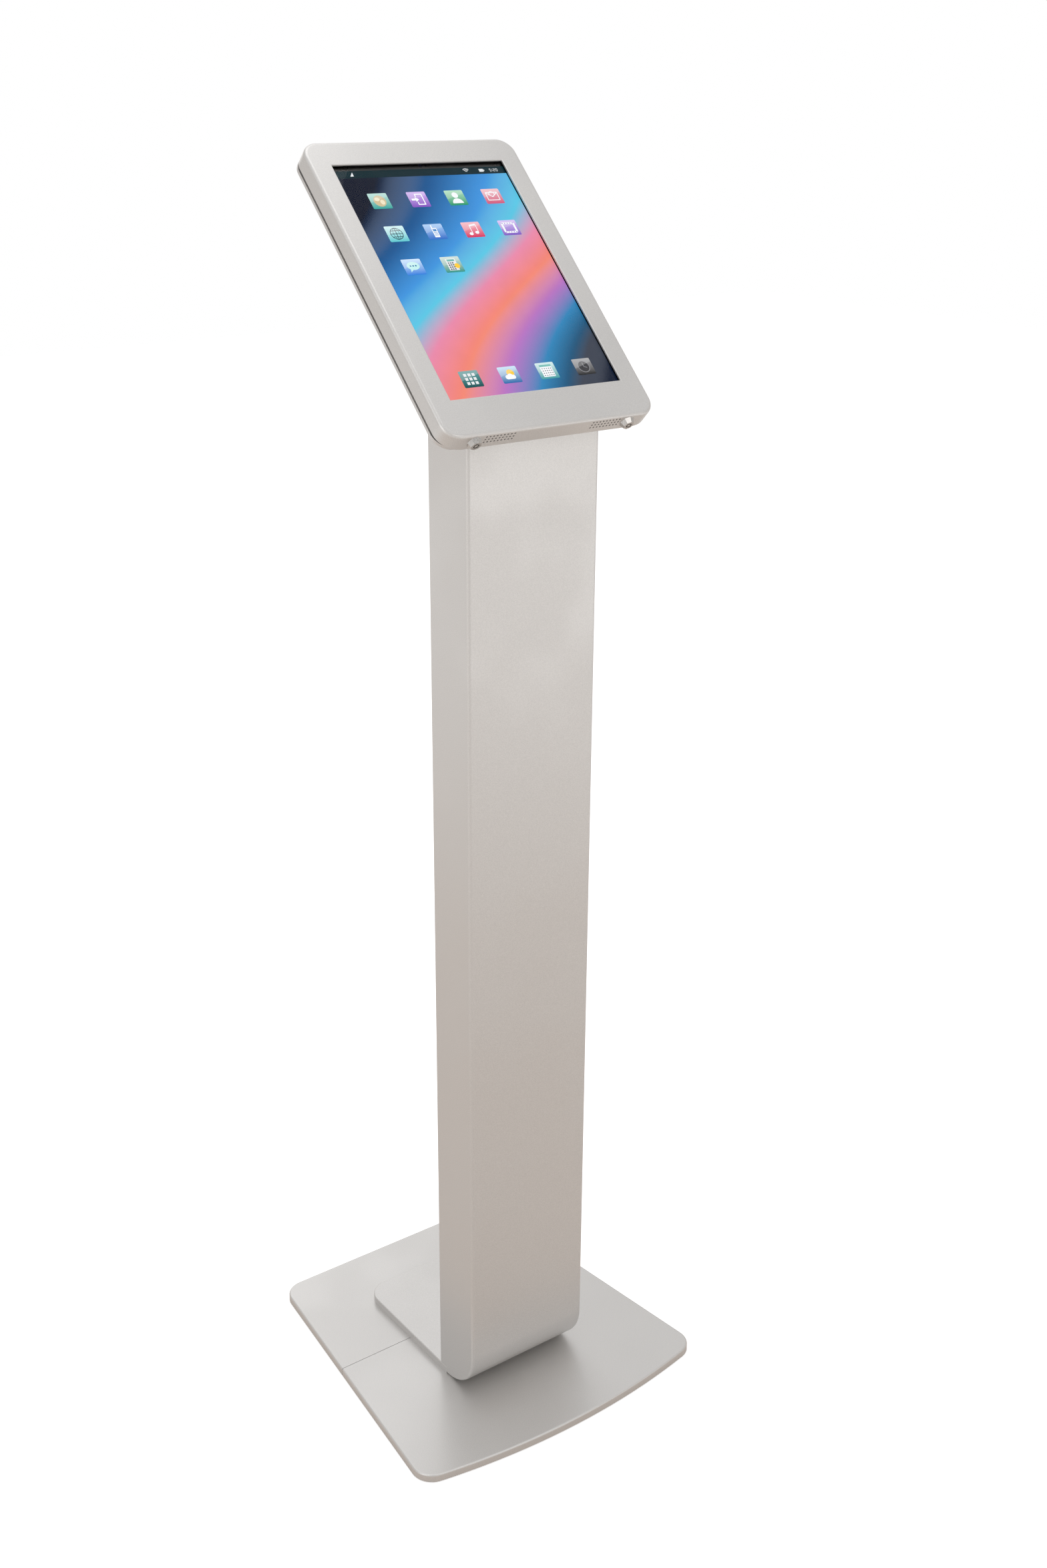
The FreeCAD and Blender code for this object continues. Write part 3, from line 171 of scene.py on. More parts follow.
def make_grain():
    group, given, out = make_group("Grain", {"Scale": 1000.0}, ["Grain", "Clouds", "Height"])
    place = add(group, "TexCoord").outputs["Object"]
    fine = add(group, "TexNoise")
    fine.inputs["Detail"].default_value = 3.0
    slow = add(group, "TexNoise")
    slow.inputs["Scale"].default_value = 9.0
    for noise in (fine, slow):
        group.links.new(place, noise.inputs["Vector"])
    group.links.new(given.outputs["Scale"], fine.inputs["Scale"])
    group.links.new(between(group, fine.outputs["Fac"], 0.3, 0.7), out.inputs["Grain"])
    group.links.new(between(group, slow.outputs["Fac"], 0.35, 0.65), out.inputs["Clouds"])
    group.links.new(fine.outputs["Fac"], out.inputs["Height"])
    return group


GRAIN = make_grain()


def grained(name, dark, light, scale, bump, rough, metallic=0.0):
    """A finish whose colour, roughness and bump follow the grain group."""
    material, tree, shader = new_finish(name, metallic)
    grain = add(tree, "Group", node_tree=GRAIN)
    grain.inputs["Scale"].default_value = scale
    feed(tree, shader.inputs["Base Color"], mixed(tree, grain.outputs["Grain"], dark, light))
    feed(tree, shader.inputs["Roughness"],
         between(tree, grain.outputs["Clouds"], 0.0, 1.0, rough[0], rough[1]))
    relief = add(tree, "Bump")
    relief.inputs["Strength"].default_value = bump
    relief.inputs["Distance"].default_value = 0.1 * MM
    feed(tree, relief.inputs["Height"], grain.outputs["Height"])
    feed(tree, shader.inputs["Normal"], relief.outputs["Normal"])
    return material, tree, shader


print("grain group outputs:", [item.name for item in GRAIN.interface.items_tree])

# %% [markdown]
# ## The silver coat
# The sheet steel has a satin silver powder coat. Metal flakes in it give a fine sparkle, and
# the coat's colour wanders a little. A metallic shader with a medium roughness gives the
# blurred highlights along the folded edges, and Voronoi cells give the flakes.


# %% Silver powder coat
def make_silver_coat():
    material, tree, shader = grained("Silver_coat", grey(0.62, 0.02), grey(0.69, 0.02),
                                     scale=1700.0, bump=0.08, rough=(0.36, 0.44), metallic=0.75)
    base = shader.inputs["Base Color"].links[0].from_socket
    flakes = add(tree, "TexVoronoi")
    flakes.inputs["Scale"].default_value = 1900.0
    tree.links.new(add(tree, "TexCoord").outputs["Object"], flakes.inputs["Vector"])
    glint = between(tree, flakes.outputs["Distance"], 0.12, 0.02)
    feed(tree, shader.inputs["Base Color"], mixed(tree, glint, base, grey(0.85)))
    shader.inputs["Coat Weight"].default_value = 0.15
    shader.inputs["Coat Roughness"].default_value = 0.25
    return material


SILVER = make_silver_coat()
print("made", SILVER.name)

# %% [markdown]
# ## Bare metals
# Screws, brackets and cams are zinc plated, the lock collars and plugs are polished nickel
# and the lock nuts are turned brass. Machined metal has fine lines left by the tool, so its grain is a
# noise drawn out along one axis. The group below makes those lines for every metal.


# %% Tool lines and the metals that carry them
def make_tool_lines():
    group, given, out = make_group("Tool_lines", {"Fineness": 4000.0}, ["Lines"])
    stretch = add(group, "Mapping")
    stretch.inputs["Scale"].default_value = (1.0, 1.0, 0.04)
    noise = add(group, "TexNoise")
    noise.inputs["Detail"].default_value = 2.0
    group.links.new(add(group, "TexCoord").outputs["Object"], stretch.inputs["Vector"])
    group.links.new(stretch.outputs["Vector"], noise.inputs["Vector"])
    group.links.new(given.outputs["Fineness"], noise.inputs["Scale"])
    group.links.new(noise.outputs["Fac"], out.inputs["Lines"])
    return group


TOOL_LINES = make_tool_lines()


def machined(name, dark, light, fineness, rough):
    material, tree, shader = new_finish(name, metallic=1.0)
    lines = add(tree, "Group", node_tree=TOOL_LINES)
    lines.inputs["Fineness"].default_value = fineness
    share = between(tree, lines.outputs["Lines"], 0.35, 0.65)
    feed(tree, shader.inputs["Base Color"], mixed(tree, share, dark, light))
    feed(tree, shader.inputs["Roughness"], between(tree, share, 0.0, 1.0, rough[0], rough[1]))
    return material


ZINC = machined("Zinc_plate", grey(0.36, 0.03), grey(0.55, -0.02), 900.0, (0.32, 0.46))
NICKEL = machined("Polished_nickel", grey(0.50, 0.03), grey(0.62, 0.03), 2600.0, (0.08, 0.16))
BRASS = machined("Turned_brass", (0.50, 0.37, 0.15, 1), (0.70, 0.55, 0.27, 1), 2600.0,
                 (0.2, 0.34))
ANODISED = machined("Anodised_case", grey(0.09, -0.03), grey(0.13, -0.03), 1500.0, (0.34, 0.46))
FOIL = machined("Display_foil", grey(0.30), grey(0.46), 700.0, (0.3, 0.5))
print("metals:", ZINC.name, NICKEL.name, BRASS.name, ANODISED.name, FOIL.name)

# %% [markdown]
# ## Rubber, foam and plastics
# These are the same grain at different scales: foam has open pores, rubber is nearly smooth
# and moulded plastic has a fine spark-eroded texture.

# %% Rubber, foam and plastics
RUBBER = grained("Black_rubber", grey(0.012), grey(0.03), 700.0, 0.3, (0.55, 0.75))[0]
FOAM = grained("Black_foam", grey(0.008), grey(0.045), 1300.0, 0.8, (0.85, 0.98))[0]
PLASTIC = grained("Black_plastic", grey(0.012), grey(0.03), 1600.0, 0.25, (0.38, 0.5))[0]
CHIP = grained("Chip_package", grey(0.01), grey(0.022), 2200.0, 0.2, (0.5, 0.62))[0]
CELL = grained("Cell_wrap", grey(0.03, -0.05), grey(0.06, -0.05), 120.0, 0.2, (0.25, 0.45))[0]
JACKET = grained("White_jacket", grey(0.62, 0.02), grey(0.72, 0.01), 900.0, 0.15, (0.4, 0.5))[0]
print("soft and moulded finishes: 6")


# %% [markdown]
# ## Circuit board
# Green lacquer over copper tracks. Tracks run square to the board, so a brick pattern gives
# the lighter lines, and the grain keeps the lacquer from looking painted flat.


# %% Board lacquer
def make_board():
    material, tree, shader = grained("Board_lacquer", (0.01, 0.07, 0.03, 1),
                                     (0.015, 0.10, 0.045, 1), 500.0, 0.1, (0.2, 0.3))
    base = shader.inputs["Base Color"].links[0].from_socket
    tracks = add(tree, "TexBrick", offset=0.4)
    tracks.inputs["Scale"].default_value = 160.0
    tracks.inputs["Mortar Size"].default_value = 0.06
    tree.links.new(add(tree, "TexCoord").outputs["Object"], tracks.inputs["Vector"])
    feed(tree, shader.inputs["Base Color"],
         mixed(tree, tracks.outputs["Fac"], base, (0.05, 0.22, 0.09, 1)))
    return material


BOARD = make_board()
print("made", BOARD.name)

# %% [markdown]
# ## Screen glass
# Toughened glass is clear, so it is a transmitting shader that keeps a plain weight. Its
# anti-reflection coat makes it mirror less than bare glass, which a lower IOR gives. Finger
# marks only change how sharp the reflection is, in soft patches.


# %% Clear glass with faint finger marks
def make_glass():
    material, tree, shader = new_finish("Screen_glass")
    shader.inputs["Transmission Weight"].default_value = 1.0
    shader.inputs["IOR"].default_value = 1.15
    grain = add(tree, "Group", node_tree=GRAIN)
    grain.inputs["Scale"].default_value = 60.0
    smear = sum_up(tree, "MULTIPLY", grain.outputs["Grain"], grain.outputs["Clouds"])
    feed(tree, shader.inputs["Roughness"], between(tree, smear, 0.3, 1.0, 0.0, 0.06))
    feed(tree, shader.inputs["Base Color"], mixed(tree, smear, grey(1.0), grey(0.97)))
    return material


GLASS = make_glass()
print("made", GLASS.name)

# %% [markdown]
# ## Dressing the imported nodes
# The record names a finish slot for every node. A table from slot to finish dresses them all,
# so a node that is added later with a known slot is dressed too.

# %% Put a finish on every node
FINISHES = {"silver_coat": SILVER, "steel_zinc": ZINC, "chrome": NICKEL, "lock_brass": BRASS,
            "rubber_black": RUBBER, "foam_black": FOAM, "screen_glass": GLASS, "display": FOIL,
            "case_dark": ANODISED, "cell_black": CELL, "board_green": BOARD,
            "chip_black": CHIP, "plastic_black": PLASTIC, "lead_white": JACKET}


def dress(piece, material):
    piece.data.materials.clear()
    piece.data.materials.append(material)


for part in frame["record"]["subparts"]:
    dress(NODES[part["node"]], FINISHES[part["material_slot"]])

# %% [markdown]
# ## Turning a bmesh into a piece
# Every new piece ends the same way: its normals are made to point outwards, its mesh is laid
# on the face or left in the room, and it gets a finish and a body to ride on.


# %% Finish a piece
def keep_piece(name, shape, material, body="stand", lay=None):
    """Make a piece from a bmesh. lay places what was drawn flat."""
    if lay is not None:
        bmesh.ops.transform(shape, matrix=lay, verts=shape.verts)
    bmesh.ops.recalc_face_normals(shape, faces=shape.faces)
    assert shape.faces, name + " has no faces"
    mesh = bpy.data.meshes.new(name)
    shape.to_mesh(mesh)
    shape.free()
    piece = bpy.data.objects.new(name, mesh)
    bpy.context.scene.collection.objects.link(piece)
    dress(piece, material)
    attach(piece, body)
    print("piece", name, "faces", len(mesh.polygons))
    return piece


def block(shape, x, y, z):
    """Add a box between pairs of limits and return its corners."""
    made = bmesh.ops.create_cube(shape, size=1.0)["verts"]
    size = [high - low for low, high in (x, y, z)]
    middle = [(high + low) / 2 for low, high in (x, y, z)]
    bmesh.ops.scale(shape, vec=size, verts=made)
    bmesh.ops.translate(shape, vec=middle, verts=made)
    return made


def soften(shape, corners, radius, segments=3):
    """Round every edge between these corners."""
    inside = set(corners)
    edges = [edge for edge in shape.edges if inside.issuperset(edge.verts)]
    bmesh.ops.bevel(shape, geom=edges, offset=radius, affect="EDGES", segments=segments,
                    profile=0.5, material=-1)


def join_into(target, part):
    """Move one bmesh into another."""
    scratch = bpy.data.meshes.new("scratch")
    part.to_mesh(scratch)
    part.free()
    target.from_mesh(scratch)
    bpy.data.meshes.remove(scratch)


def linked_to(start):
    """Every vertex joined to this one."""
    found, waiting = {start}, [start]
    while waiting:
        here = waiting.pop()
        for edge in here.link_edges:
            other = edge.other_vert(here)
            if other not in found:
                found.add(other)
                waiting.append(other)
    return list(found)


def turned(shape, profile, closed=False, steps=48):
    """Spin a profile of (radius, height) points, in millimetres, about the z axis."""
    points = [shape.verts.new((radius * MM, 0, height * MM)) for radius, height in profile]
    edges = [shape.edges.new(pair) for pair in zip(points, points[1:])]
    if closed:
        edges.append(shape.edges.new((points[-1], points[0])))
    bmesh.ops.spin(shape, geom=points + edges, cent=(0, 0, 0), axis=(0, 0, 1),
                   angle=2 * math.pi, steps=steps, use_merge=True)
    bmesh.ops.remove_doubles(shape, verts=shape.verts, dist=0.0005 * MM)


def ring_plate(shape, outer, inner, level, thick):
    """A flat rectangular ring; outer and inner each hold a pair of limits across and up."""
    bmesh.ops.create_grid(shape, x_segments=1, y_segments=1, size=0.5)
    size = [high - low for low, high in outer]
    middle = [(high + low) / 2 for low, high in outer]
    bmesh.ops.scale(shape, vec=(*size, 1), verts=shape.verts)
    bmesh.ops.translate(shape, vec=(*middle, level), verts=shape.verts)
    plate = shape.faces[:]
    bmesh.ops.inset_region(shape, faces=plate, thickness=min(size) / 10, use_boundary=True,
                           use_even_offset=True)
    for corner in plate[0].verts:
        corner.co.x = inner[0][corner.co.x > middle[0]]
        corner.co.y = inner[1][corner.co.y > middle[1]]
    bmesh.ops.delete(shape, geom=plate, context="FACES")
    raised = bmesh.ops.extrude_face_region(shape, geom=shape.faces[:])["geom"]
    bmesh.ops.translate(shape, vec=(0, 0, thick),
                        verts=[item for item in raised if isinstance(item, bmesh.types.BMVert)])


def separate(name, inside=None):
    """The box of each separate solid in a node, as the face sees it where inside is given."""
    copy = bmesh.new()
    copy.from_mesh(NODES[name].data)
    if inside is not None:
        bmesh.ops.transform(copy, matrix=inside, verts=copy.verts)
    bmesh.ops.remove_doubles(copy, verts=copy.verts, dist=0.002 * MM)
    waiting, boxes = set(copy.verts), []
    while waiting:
        mine = linked_to(next(iter(waiting)))
        waiting -= set(mine)
        boxes.append([(min(v.co[k] for v in mine), max(v.co[k] for v in mine))
                      for k in range(3)])
    copy.free()
    return sorted(boxes)


print("piece helpers are ready")

# %% [markdown]
# ## The lit picture
# The display shows a home screen: rows of tiles on a plain background. The background is a
# diagonal gradient worked out by a formula: a slope across and up the picture, bent a little
# by a sine, goes through one colour ramp. A second sine lightens it in soft bands. The picture
# has its own UV map, 0 to 1 across and up, so it stays put however the face is tilted.

# %% The display module, with its picture on the front
display_x, display_up, display_level = on_face("display_panel")
PICTURE_LEVEL = display_level[1] - 0.4 * MM
STATUS_BAR = 7.0


def make_display():
    shape = bmesh.new()
    corners = block(shape, display_x, display_up, (display_level[0], PICTURE_LEVEL))
    soften(shape, corners, 0.3 * MM, 2)
    chart = shape.loops.layers.uv.new("picture")
    for face in shape.faces:
        for loop in face.loops:
            x, up = loop.vert.co.x, loop.vert.co.y
            loop[chart].uv = ((x - display_x[0]) / (display_x[1] - display_x[0]),
                              (up - display_up[0]) / (display_up[1] - display_up[0]))
    return shape


def ramp(tree, share, stops):
    made = add(tree, "ValToRGB")
    feed(tree, made.inputs["Fac"], share)
    marks = made.color_ramp.elements
    while len(marks) < len(stops):
        marks.new(0.5)
    for mark, (place, colour) in zip(marks, stops):
        mark.position = place
        mark.color = (*colour, 1)
    return made.outputs["Color"]


GRADIENT = [(0.0, (0.003, 0.006, 0.02)), (0.16, (0.01, 0.10, 0.30)), (0.32, (0.05, 0.30, 0.74)),
            (0.44, (0.08, 0.58, 0.80)), (0.54, (0.84, 0.26, 0.42)), (0.66, (0.93, 0.24, 0.16)),
            (0.78, (0.48, 0.18, 0.56)), (0.88, (0.03, 0.24, 0.50)), (1.0, (0.004, 0.01, 0.03))]


def make_picture():
    material, tree, shader = new_finish("Lit_picture", roughness=0.35)
    chart = add(tree, "UVMap", uv_map="picture")
    split = add(tree, "SeparateXYZ")
    tree.links.new(chart.outputs["UV"], split.inputs["Vector"])
    across, up = split.outputs["X"], split.outputs["Y"]
    bend = sum_up(tree, "SINE", sum_up(tree, "MULTIPLY", up, 2 * math.pi))
    slope = sum_up(tree, "ADD", sum_up(tree, "MULTIPLY", across, 0.5),
                   sum_up(tree, "MULTIPLY", up, -0.75))
    flow = sum_up(tree, "ADD", sum_up(tree, "ADD", slope, 0.62),
                  sum_up(tree, "MULTIPLY", bend, 0.05))
    fold = sum_up(tree, "SINE", sum_up(tree, "MULTIPLY", flow, 20.0))
    colour = mixed(tree, between(tree, fold, 0.2, 1.0, 0.0, 0.06), ramp(tree, flow, GRADIENT),
                   (0.75, 0.82, 0.95, 1))
    bar = (display_up[1] - STATUS_BAR * MM - display_up[0]) / (display_up[1] - display_up[0])
    colour = mixed(tree, sum_up(tree, "GREATER_THAN", up, bar), colour, (0.002, 0.02, 0.028, 1))
    front = add(tree, "NewGeometry")
    facing = add(tree, "VectorMath", operation="DOT_PRODUCT")
    tree.links.new(front.outputs["Normal"], facing.inputs[0])
    facing.inputs[1].default_value = OUT
    lit = sum_up(tree, "GREATER_THAN", facing.outputs["Value"], 0.9)
    feed(tree, shader.inputs["Base Color"], mixed(tree, lit, grey(0.35), grey(0.002)))
    feed(tree, shader.inputs["Emission Color"], mixed(tree, lit, grey(0.0), colour))
    shader.inputs["Emission Strength"].default_value = 1.0
    shader.inputs["Specular IOR Level"].default_value = 0.01
    return material


picture = keep_piece("screen_picture", make_display(), make_picture(), lay=FACE)
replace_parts(picture, "display_panel")

# %% [markdown]
# ## The ink border
# Behind the edge of a tablet's glass is a black printed border. It hides the edge of the
# display. It is a thin ring: a plate with its middle face inset and removed, then thickened.


# %% Ink border under the glass
def make_border():
    glass_x, glass_up, glass_level = on_face("tablet_glass")
    shape = bmesh.new()
    rim, lap = 1.2 * MM, 0.6 * MM
    outer = [(low + rim, high - rim) for low, high in (glass_x, glass_up)]
    inner = [(low + lap, high - lap) for low, high in (display_x, display_up)]
    ring_plate(shape, outer, inner, glass_level[0] - 0.05 * MM, 0.03 * MM)
    return shape


INK = grained("Border_ink", grey(0.004), grey(0.009), 900.0, 0.05, (0.25, 0.35))[0]
border = keep_piece("screen_border", make_border(), INK, lay=FACE)

# %% [markdown]
# ## Flat symbols
# Tiles and their symbols are thin plates just in front of the picture. Each is drawn flat in
# millimetres about its own middle from discs, rings, bars and patches. One material lights
# them all: it reads the tint from a colour attribute and adds a sheen across each tile.


# %% Tools for flat symbols
def polygon(shape, points):
    return shape.faces.new([shape.verts.new((x, y, 0)) for x, y in points])


def disc(shape, x, y, radius, squeeze=1.0, turn=360):
    """A disc, or a half disc above its middle where turn is 180."""
    count = max(12, turn // 12)
    steps = count if turn == 360 else count + 1
    polygon(shape, [(x + radius * math.cos(math.radians(turn * k / count)),
                     y + radius * squeeze * math.sin(math.radians(turn * k / count)))
                    for k in range(steps)])


def ring(shape, x, y, radius, width, squeeze=1.0, start=0, turn=360):
    """A flat ring or arc, spun from one short edge."""
    inner = shape.verts.new((radius - width, 0, 0))
    outer = shape.verts.new((radius, 0, 0))
    edge = shape.edges.new((inner, outer))
    bmesh.ops.spin(shape, geom=[inner, outer, edge], cent=(0, 0, 0), axis=(0, 0, 1),
                   angle=math.radians(turn), steps=24, use_merge=turn == 360)
    mine = linked_to(inner)
    bmesh.ops.rotate(shape, cent=(0, 0, 0), verts=mine,
                     matrix=Matrix.Rotation(math.radians(start), 3, "Z"))
    bmesh.ops.scale(shape, vec=(squeeze, 1, 1), verts=mine)
    bmesh.ops.translate(shape, vec=(x, y, 0), verts=mine)


def bar(shape, x, y, end_x, end_y, width):
    """A straight bar between two points."""
    run = Vector((end_x - x, end_y - y))
    side = Vector((-run.y, run.x)).normalized() * width / 2
    polygon(shape, [(x - side.x, y - side.y), (end_x - side.x, end_y - side.y),
                    (end_x + side.x, end_y + side.y), (x + side.x, y + side.y)])


def frame_of(shape, width, height, line):
    """The outline of a rectangle about the middle."""
    for sign in (-1, 1):
        bar(shape, -width / 2, sign * height / 2, width / 2, sign * height / 2, line)
        bar(shape, sign * width / 2, -height / 2, sign * width / 2, height / 2, line)


SHAPES = {"disc": disc, "ring": ring, "bar": bar, "frame": frame_of,
          "patch": lambda shape, *points: polygon(shape, points)}
print("symbol tools:", ", ".join(SHAPES))

# %% [markdown]
# ## What the tiles show
# The symbols are the plain kind that any home screen has: a globe, a person, an envelope, a
# calendar. Each entry holds the tile's two tints and its layers, each a tint and its shapes.

# %% The tiles and their symbols
WHITE, PALE, INKY = (0.9, 0.92, 0.95), (0.55, 0.85, 0.85), (0.01, 0.03, 0.05)
SUN, MINT, SNOW = (0.95, 0.6, 0.05), (0.05, 0.42, 0.36), (0.8, 0.82, 0.84)
TILES = [
    ("atlas", 0, 0, (0.45, 0.72, 0.66), (0.03, 0.36, 0.32),
     [((0.62, 0.50, 0.30), [("disc", 0, 0, 5.2)]),
      ((0.85, 0.76, 0.55), [("disc", -1.8, 1.6, 2.2, 0.8), ("disc", 1.9, -1.2, 1.9, 1.2)])]),
    ("door", 1, 0, (0.62, 0.42, 0.85), (0.22, 0.08, 0.50),
     [(WHITE, [("bar", -1.5, 4.8, 4.2, 4.8, 0.9), ("bar", 4.2, 5.2, 4.2, -5.2, 0.9),
               ("bar", 4.2, -4.8, -1.5, -4.8, 0.9), ("bar", -1.5, 5.2, -1.5, 2.4, 0.9),
               ("bar", -1.5, -2.4, -1.5, -5.2, 0.9), ("bar", -6.0, 0, -2.4, 0, 1.8),
               ("patch", (-2.6, -2.3), (0.6, 0), (-2.6, 2.3))])]),
    ("person", 2, 0, (0.40, 0.72, 0.50), (0.01, 0.30, 0.14),
     [(WHITE, [("disc", 0, 2.5, 2.7), ("disc", 0, -5.2, 4.8, 0.95, 180)])]),
    ("letter", 3, 0, (0.85, 0.50, 0.55), (0.62, 0.08, 0.18),
     [(WHITE, [("frame", 10.5, 7.4, 0.7), ("bar", -5.2, 3.6, 0, -0.6, 0.7),
               ("bar", 5.2, 3.6, 0, -0.6, 0.7), ("ring", 0, 2.2, 2.6, 0.6)])]),
    ("web", 0, 1, (0.62, 0.86, 0.88), (0.10, 0.55, 0.60),
     [(INKY, [("ring", 0, 0, 5.4, 0.5), ("ring", 0, 0, 5.4, 0.5, 0.5), ("bar", 0, -5.4, 0, 5.4, 0.5),
              ("bar", -5.4, 0, 5.4, 0, 0.5), ("bar", -4.5, 2.8, 4.5, 2.8, 0.5),
              ("bar", -4.5, -2.8, 4.5, -2.8, 0.5)])]),
    ("handset", 1, 1, (0.35, 0.58, 0.90), (0.02, 0.14, 0.55),
     [(WHITE, [("bar", 0, -5.2, 0, 3.4, 4.4), ("bar", -1.5, 3.2, -1.5, 6.2, 1.0)]),
      ((0.05, 0.25, 0.6), [("bar", -1.5, 1.4, 1.5, 1.4, 2.2)]
       + [("bar", x, y, x + 0.7, y, 0.6) for x in (-1.4, -0.35, 0.7)
          for y in (-0.8, -2.0, -3.2)])]),
    ("notes", 2, 1, (0.90, 0.45, 0.52), (0.66, 0.02, 0.10),
     [(WHITE, [("disc", -3.0, -3.8, 1.7, 0.8), ("disc", 2.6, -2.8, 1.7, 0.8),
               ("bar", -1.6, -3.8, -1.6, 4.2, 0.6), ("bar", 4.0, -2.8, 4.0, 5.0, 0.6),
               ("bar", -1.6, 3.9, 4.0, 4.7, 1.5)])]),
    ("film", 3, 1, (0.66, 0.50, 0.90), (0.20, 0.10, 0.52),
     [(WHITE, [("frame", 10.6, 8.4, 1.8)]),
      ((0.25, 0.12, 0.6), [("bar", x, y, x + 1.0, y, 0.8) for x in (-5.2, -2.9, -0.5, 1.9, 4.2)
                           for y in (-4.2, 4.2)])]),
    ("talk", 0, 2, (0.55, 0.74, 0.95), (0.02, 0.20, 0.70),
     [(PALE, [("disc", 0, 1.0, 5.4, 0.68), ("patch", (-3.2, -1.2), (-0.6, -2.0), (-3.8, -4.6))]),
      ((0.02, 0.2, 0.4), [("disc", x, 1.0, 0.7) for x in (-2.3, 0, 2.3)])]),
    ("sums", 1, 2, (0.60, 0.74, 0.68), (0.02, 0.28, 0.22),
     [(SNOW, [("bar", 0, -5.4, 0, 5.4, 8.6)]), (MINT, [("bar", -3.2, 3.7, 3.2, 3.7, 1.8)]),
      (INKY, [("bar", x, y, x + 1.2, y, 1.1) for x in (-3.3, -1.5, 0.3)
              for y in (1.3, -0.6, -2.5, -4.4)]), (SUN, [("disc", 3.6, -1.6, 2.3)])]),
    ("grid", 0, 5.28, (0.10, 0.34, 0.34), (0.005, 0.07, 0.08),
     [(SNOW, [("bar", x, y, x + 2.4, y, 2.4) for x in (-4.8, -1.2, 2.4)
              for y in (-3.6, 0, 3.6)])]),
    ("weather", 1, 5.28, (0.55, 0.74, 0.90), (0.01, 0.13, 0.38),
     [(SUN, [("disc", 1.2, 1.4, 3.2)]),
      (WHITE, [("disc", -2.6, -2.0, 1.9), ("disc", 0, -1.4, 2.4), ("disc", 2.6, -2.1, 1.8),
               ("bar", -2.6, -3.0, 2.6, -3.0, 1.8)])]),
    ("dates", 2, 5.28, (0.60, 0.80, 0.80), (0.05, 0.32, 0.34),
     [(WHITE, [("bar", 0, -5.4, 0, 3.4, 10.4)]), (MINT, [("bar", -5.2, 4.4, 5.2, 4.4, 1.6)]),
      (INKY, [("bar", x, y, x + 0.9, y, 0.7) for x in (-4.2, -2.2, -0.3, 1.6, 3.5)
              for y in (1.8, -0.2, -2.2, -4.2)])]),
    ("dial", 3, 5.28, (0.34, 0.34, 0.35), (0.015, 0.015, 0.016),
     [((0.05, 0.05, 0.055), [("disc", 0, 0, 5.0)]),
      ((0.28, 0.28, 0.30), [("ring", 0, 0, 5.2, 0.5), ("bar", 0, 0, 0, 3.6, 0.5),
                            ("bar", 0, 0, 2.6, -1.2, 0.5)])]),
]
print("tiles:", len(TILES))

# %% [markdown]
# ## Laying the tiles out
# The tiles stand on a regular grid. Every plate is extruded by a few hundredths of a
# millimetre, so it is a closed shape, and each layer stands a little in front of the last.

# %% Build the tiles
TILE_WIDTH, TILE_HEIGHT, TILE_CORNER = 16.4, 14.4, 0.9
COLUMN_PITCH, ROW_PITCH = 33.7, 30.7
FIRST_ROW_DROP = 29.0
GRID_LEFT = -48.2
GRID_TOP = display_up[1] / MM - FIRST_ROW_DROP
LAYER = 0.05


def tile_plate(shape):
    """A rectangle with rounded corners."""
    half_x, half_y = TILE_WIDTH / 2 - TILE_CORNER, TILE_HEIGHT / 2 - TILE_CORNER
    points = []
    for quarter, (sign_x, sign_y) in enumerate(((1, 1), (-1, 1), (-1, -1), (1, -1))):
        for step in range(5):
            angle = math.radians(90 * quarter + 22.5 * step)
            points.append((sign_x * half_x + TILE_CORNER * math.cos(angle),
                           sign_y * half_y + TILE_CORNER * math.sin(angle)))
    polygon(shape, points)


def new_flat():
    """A bmesh with the two layers that the tile material reads."""
    shape = bmesh.new()
    shape.loops.layers.uv.new("tile")
    shape.loops.layers.float_color.new("tint")
    return shape


def add_layer(target, draw, tints, level):
    """Draw one layer, thicken it and colour it from bottom to top with two tints."""
    low, high = tints
    part = new_flat()
    draw(part)
    bmesh.ops.triangulate(part, faces=[face for face in part.faces if len(face.verts) > 4])
    raised = bmesh.ops.extrude_face_region(part, geom=part.faces[:])["geom"]
    bmesh.ops.translate(part, vec=(0, 0, LAYER * 0.6),
                        verts=[item for item in raised if isinstance(item, bmesh.types.BMVert)])
    bmesh.ops.translate(part, vec=(0, 0, level * LAYER), verts=part.verts)
    chart, tint = part.loops.layers.uv["tile"], part.loops.layers.float_color["tint"]
    for loop in (loop for face in part.faces for loop in face.loops):
        height = min(max(loop.vert.co.y / TILE_HEIGHT + 0.5, 0), 1)
        loop[chart].uv = (loop.vert.co.x / TILE_WIDTH + 0.5, height)
        loop[tint] = (*[a + (b - a) * height for a, b in zip(low, high)], 1)
    join_into(target, part)


def draw_shapes(shapes):
    def draw(part):
        for kind, *values in shapes:
            SHAPES[kind](part, *values)
    return draw


def make_glow():
    material, tree, shader = new_finish("Tile_glow", roughness=0.4)
    tint = add(tree, "VertexColor", layer_name="tint").outputs["Color"]
    chart = add(tree, "UVMap", uv_map="tile")
    split = add(tree, "SeparateXYZ")
    tree.links.new(chart.outputs["UV"], split.inputs["Vector"])
    slant = sum_up(tree, "ADD", split.outputs["Y"],
                   sum_up(tree, "MULTIPLY", split.outputs["X"], -0.35))
    sheen = sum_up(tree, "MULTIPLY", sum_up(tree, "GREATER_THAN", slant, 0.42), 0.16)
    feed(tree, shader.inputs["Emission Color"], mixed(tree, sheen, tint, grey(0.95)))
    feed(tree, shader.inputs["Base Color"], mixed(tree, 0.9, tint, grey(0.0)))
    shader.inputs["Emission Strength"].default_value = 1.0
    shader.inputs["Specular IOR Level"].default_value = 0.01
    return material


GLOW = make_glow()


